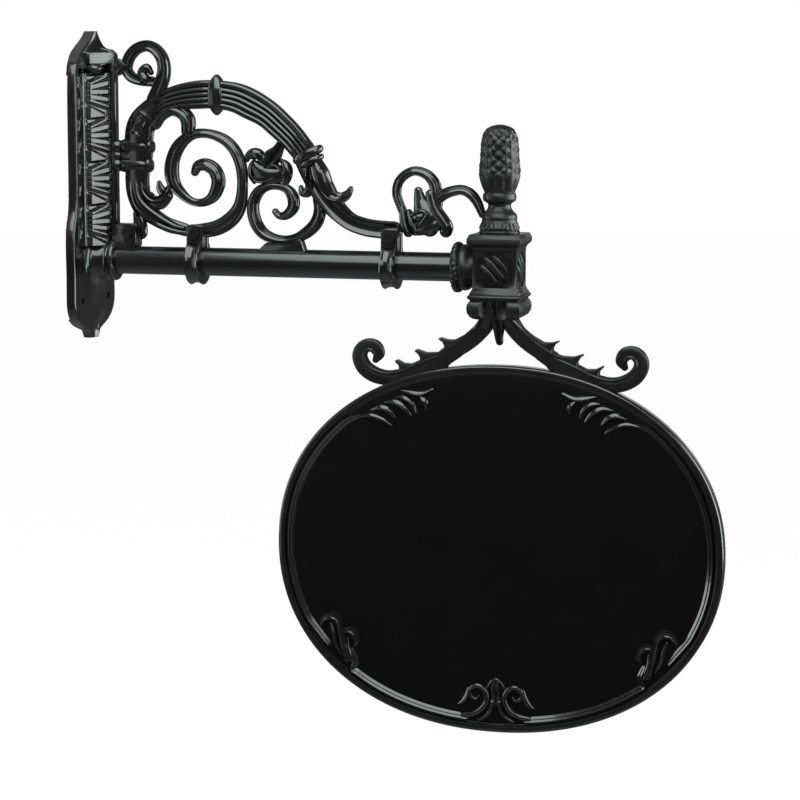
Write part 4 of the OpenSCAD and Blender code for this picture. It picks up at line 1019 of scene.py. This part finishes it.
# Board
# Two dished cast shells back to back, with a raised rim, a double bead and leaf scrolls on each face.
# Ten screws from behind close them; the rims are gloss black and the field is a deep, duller black.
board_rim = paint("board_paint", (0.004, 0.0042, 0.0045), 0.2, 0.6, 0.4, 0.8)
board_field = paint("board_field_paint", (0.002, 0.002, 0.0021), 0.4, 0.2, 0.05)
faces["bead"] = [
    (-1, 0.15), (-0.28, 0.68), (-0.14, 0.66), (-0.06, 0.5), (0.6, 1), (0.76, 0.97), (0.94, 0.5), (1, 0)]
faces["bevel"] = [
    (-1, 0.1), (-0.78, 0.42), (-0.4, 0.72), (0.1, 0.92), (0.5, 0.98), (0.75, 0.9), (0.92, 0.6), (1, 0)]


raised_from, leaf_rise = 7.4, 0.8


def board_strand(points, face, height, name="board_strand", steps=5):
    """Raised strand on the board's face, from points about the board's middle."""
    piece = strand([(head_x + x, board_z + z, w) for x, z, w in points], face, height, name, steps)
    piece.data.transform(Matrix.Translation((0, -raised_from * mm, 0)))
    return piece


def along_edge(start, end, inset, width, count=22):
    """Points of the bead between two angles, in degrees round the oval."""
    line = oval(inset, 720)
    return [(*line[round((start + (end - start) * i / count) * 2) % 720], width) for i in range(count + 1)]


def mirrored(points):
    return [(-x, z, w) for x, z, w in reversed(points)]


bead_lines = [
    [(-186, 174, 2)] + along_edge(134, 208, 17, 4.2) + [(-232, -139, 3.6)],
    [(-199, -146, 3), (-194, -160, 4)] + along_edge(224, 262, 17, 4.2)[2:],
]
# Scrolls about the foot, leaf lobes at the lower corners and curled leaves at the upper ones
leaf_lines = [
    ([(-23, -231, 3), (-14, -226, 3), (-8, -218, 3.5), (-5, -206, 4)], "round", 4.6),
    ([(-46, -225.5, 3.4), (-34, -224, 4), (-22, -218, 4.4), (-13.5, -207.5, 4.4), (-12.5, -196, 4.2),
      (-18, -187.5, 4), (-27, -184.5, 3.8), (-34.5, -190, 3.4), (-34, -199, 3), (-27, -203, 2.6),
      (-23, -198.5, 1.8)], "round", 5.6),
    ([(-51, -211, 1.5), (-45, -206, 3.4), (-40, -198, 3.8), (-38, -189, 2.4)], "bevel", 5),
    ([(-243, -113, 2), (-238, -104, 5), (-227, -100, 5.8), (-217, -107, 5.4), (-214, -120, 5),
      (-210, -140, 5), (-205, -160, 4)], "rims", 5.4),
    ([(-229, -112, 2), (-225, -124, 3.6), (-222, -138, 3.6), (-214, -152, 2)], "round", 4),
    ([(-214, -124, 2), (-206, -119, 4.5), (-197, -121, 5.4), (-192, -131, 4.4), (-195, -140, 2.4)],
     "rims", 5.4),
    ([(-205, -130, 2), (-206, -142, 3.8), (-202, -154, 3.8), (-198, -164, 2)], "round", 4.4),
    ([(-172, 182, 1.5), (-160, 186.5, 4), (-148, 183.5, 4.2), (-140, 174, 2)], "bevel", 5.4),
    ([(-154, 193, 1.5), (-140, 194.5, 4), (-127, 188.5, 4.6), (-118, 177, 2)], "bevel", 5.4),
    ([(-136, 201, 1.5), (-126, 200.5, 3.5), (-115, 193, 3.6), (-111, 181, 1.5)], "bevel", 5.2),
    ([(-131, 210, 1.5), (-114, 207, 4), (-102, 207, 3.4), (-88, 213, 2)], "bevel", 5),
    ([(-104, 203, 2), (-97, 196, 4), (-96, 187, 2)], "bevel", 5),
    ([(-190, 172, 1.5), (-172, 175, 3.4), (-156, 170, 3.4), (-145, 163, 1.8)], "bevel", 3.8),
]
foot_bud = [([(0, -206, 4), (0, -194, 7), (0, -182, 5.5), (0, -173, 1.5)], "vein", 5.4)]
foot_bud += [([(12 * s, -187, 1.6), (6 * s, -178, 2.4), (0, -174, 2)], "round", 4) for s in (-1, 1)]
# Rim, the groove inside it and the cushion of the field, (inset, height)
rim_steps = [
    (0, 10), (0.7, 11.2), (2, 12), (7.6, 12), (9, 11.4), (9.8, 10), (10.2, 7.2), (11.4, 6.6),
    (13, 6.8), (16, 7.3), (20, 7.75), (25, 8.1), (31, 8.32), (38, 8.45), (46, 8.5)]


def shell(name):
    """One dished shell with its rim, beads and leaves, facing the front."""
    piece = flat_piece([(x, z) for x, z in oval()], name)
    raise_steps(piece, rim_steps)
    stand(piece)
    piece.data.transform(Matrix.Translation((head_x * mm, 0, board_z * mm)))
    face_out(piece)
    raised = [board_strand(*line) for line in foot_bud]
    for line in bead_lines:
        for points in (line, mirrored(line)):
            raised.append(board_strand(points, "bead", 4.8, "bead", 3))
    for points, face, height in leaf_lines:
        for both in (points, mirrored(points)):
            raised.append(board_strand(both, face, height + leaf_rise))
    return fuse(piece, raised)


front = shell("board_front_shell")
hollow = upright([(head_x + x, board_z + z) for x, z in oval(14)], -4.5, 4, "hollow")
cut(front, [hollow])
back = flipped(front, Matrix.Diagonal((1, -1, 1, 1)))
back.name = "board_back_shell"
dress(front, board_rim, "board_front")
dress(back, board_rim, "board_back")
field_low, field_high = 6.7 * mm, 8.55 * mm
for piece in (front, back):
    piece.data.materials.append(board_field)
    for face in piece.data.polygons:
        if field_low < abs(face.center.y) < field_high and abs(face.normal.y) > 0.97:
            face.material_index = 1
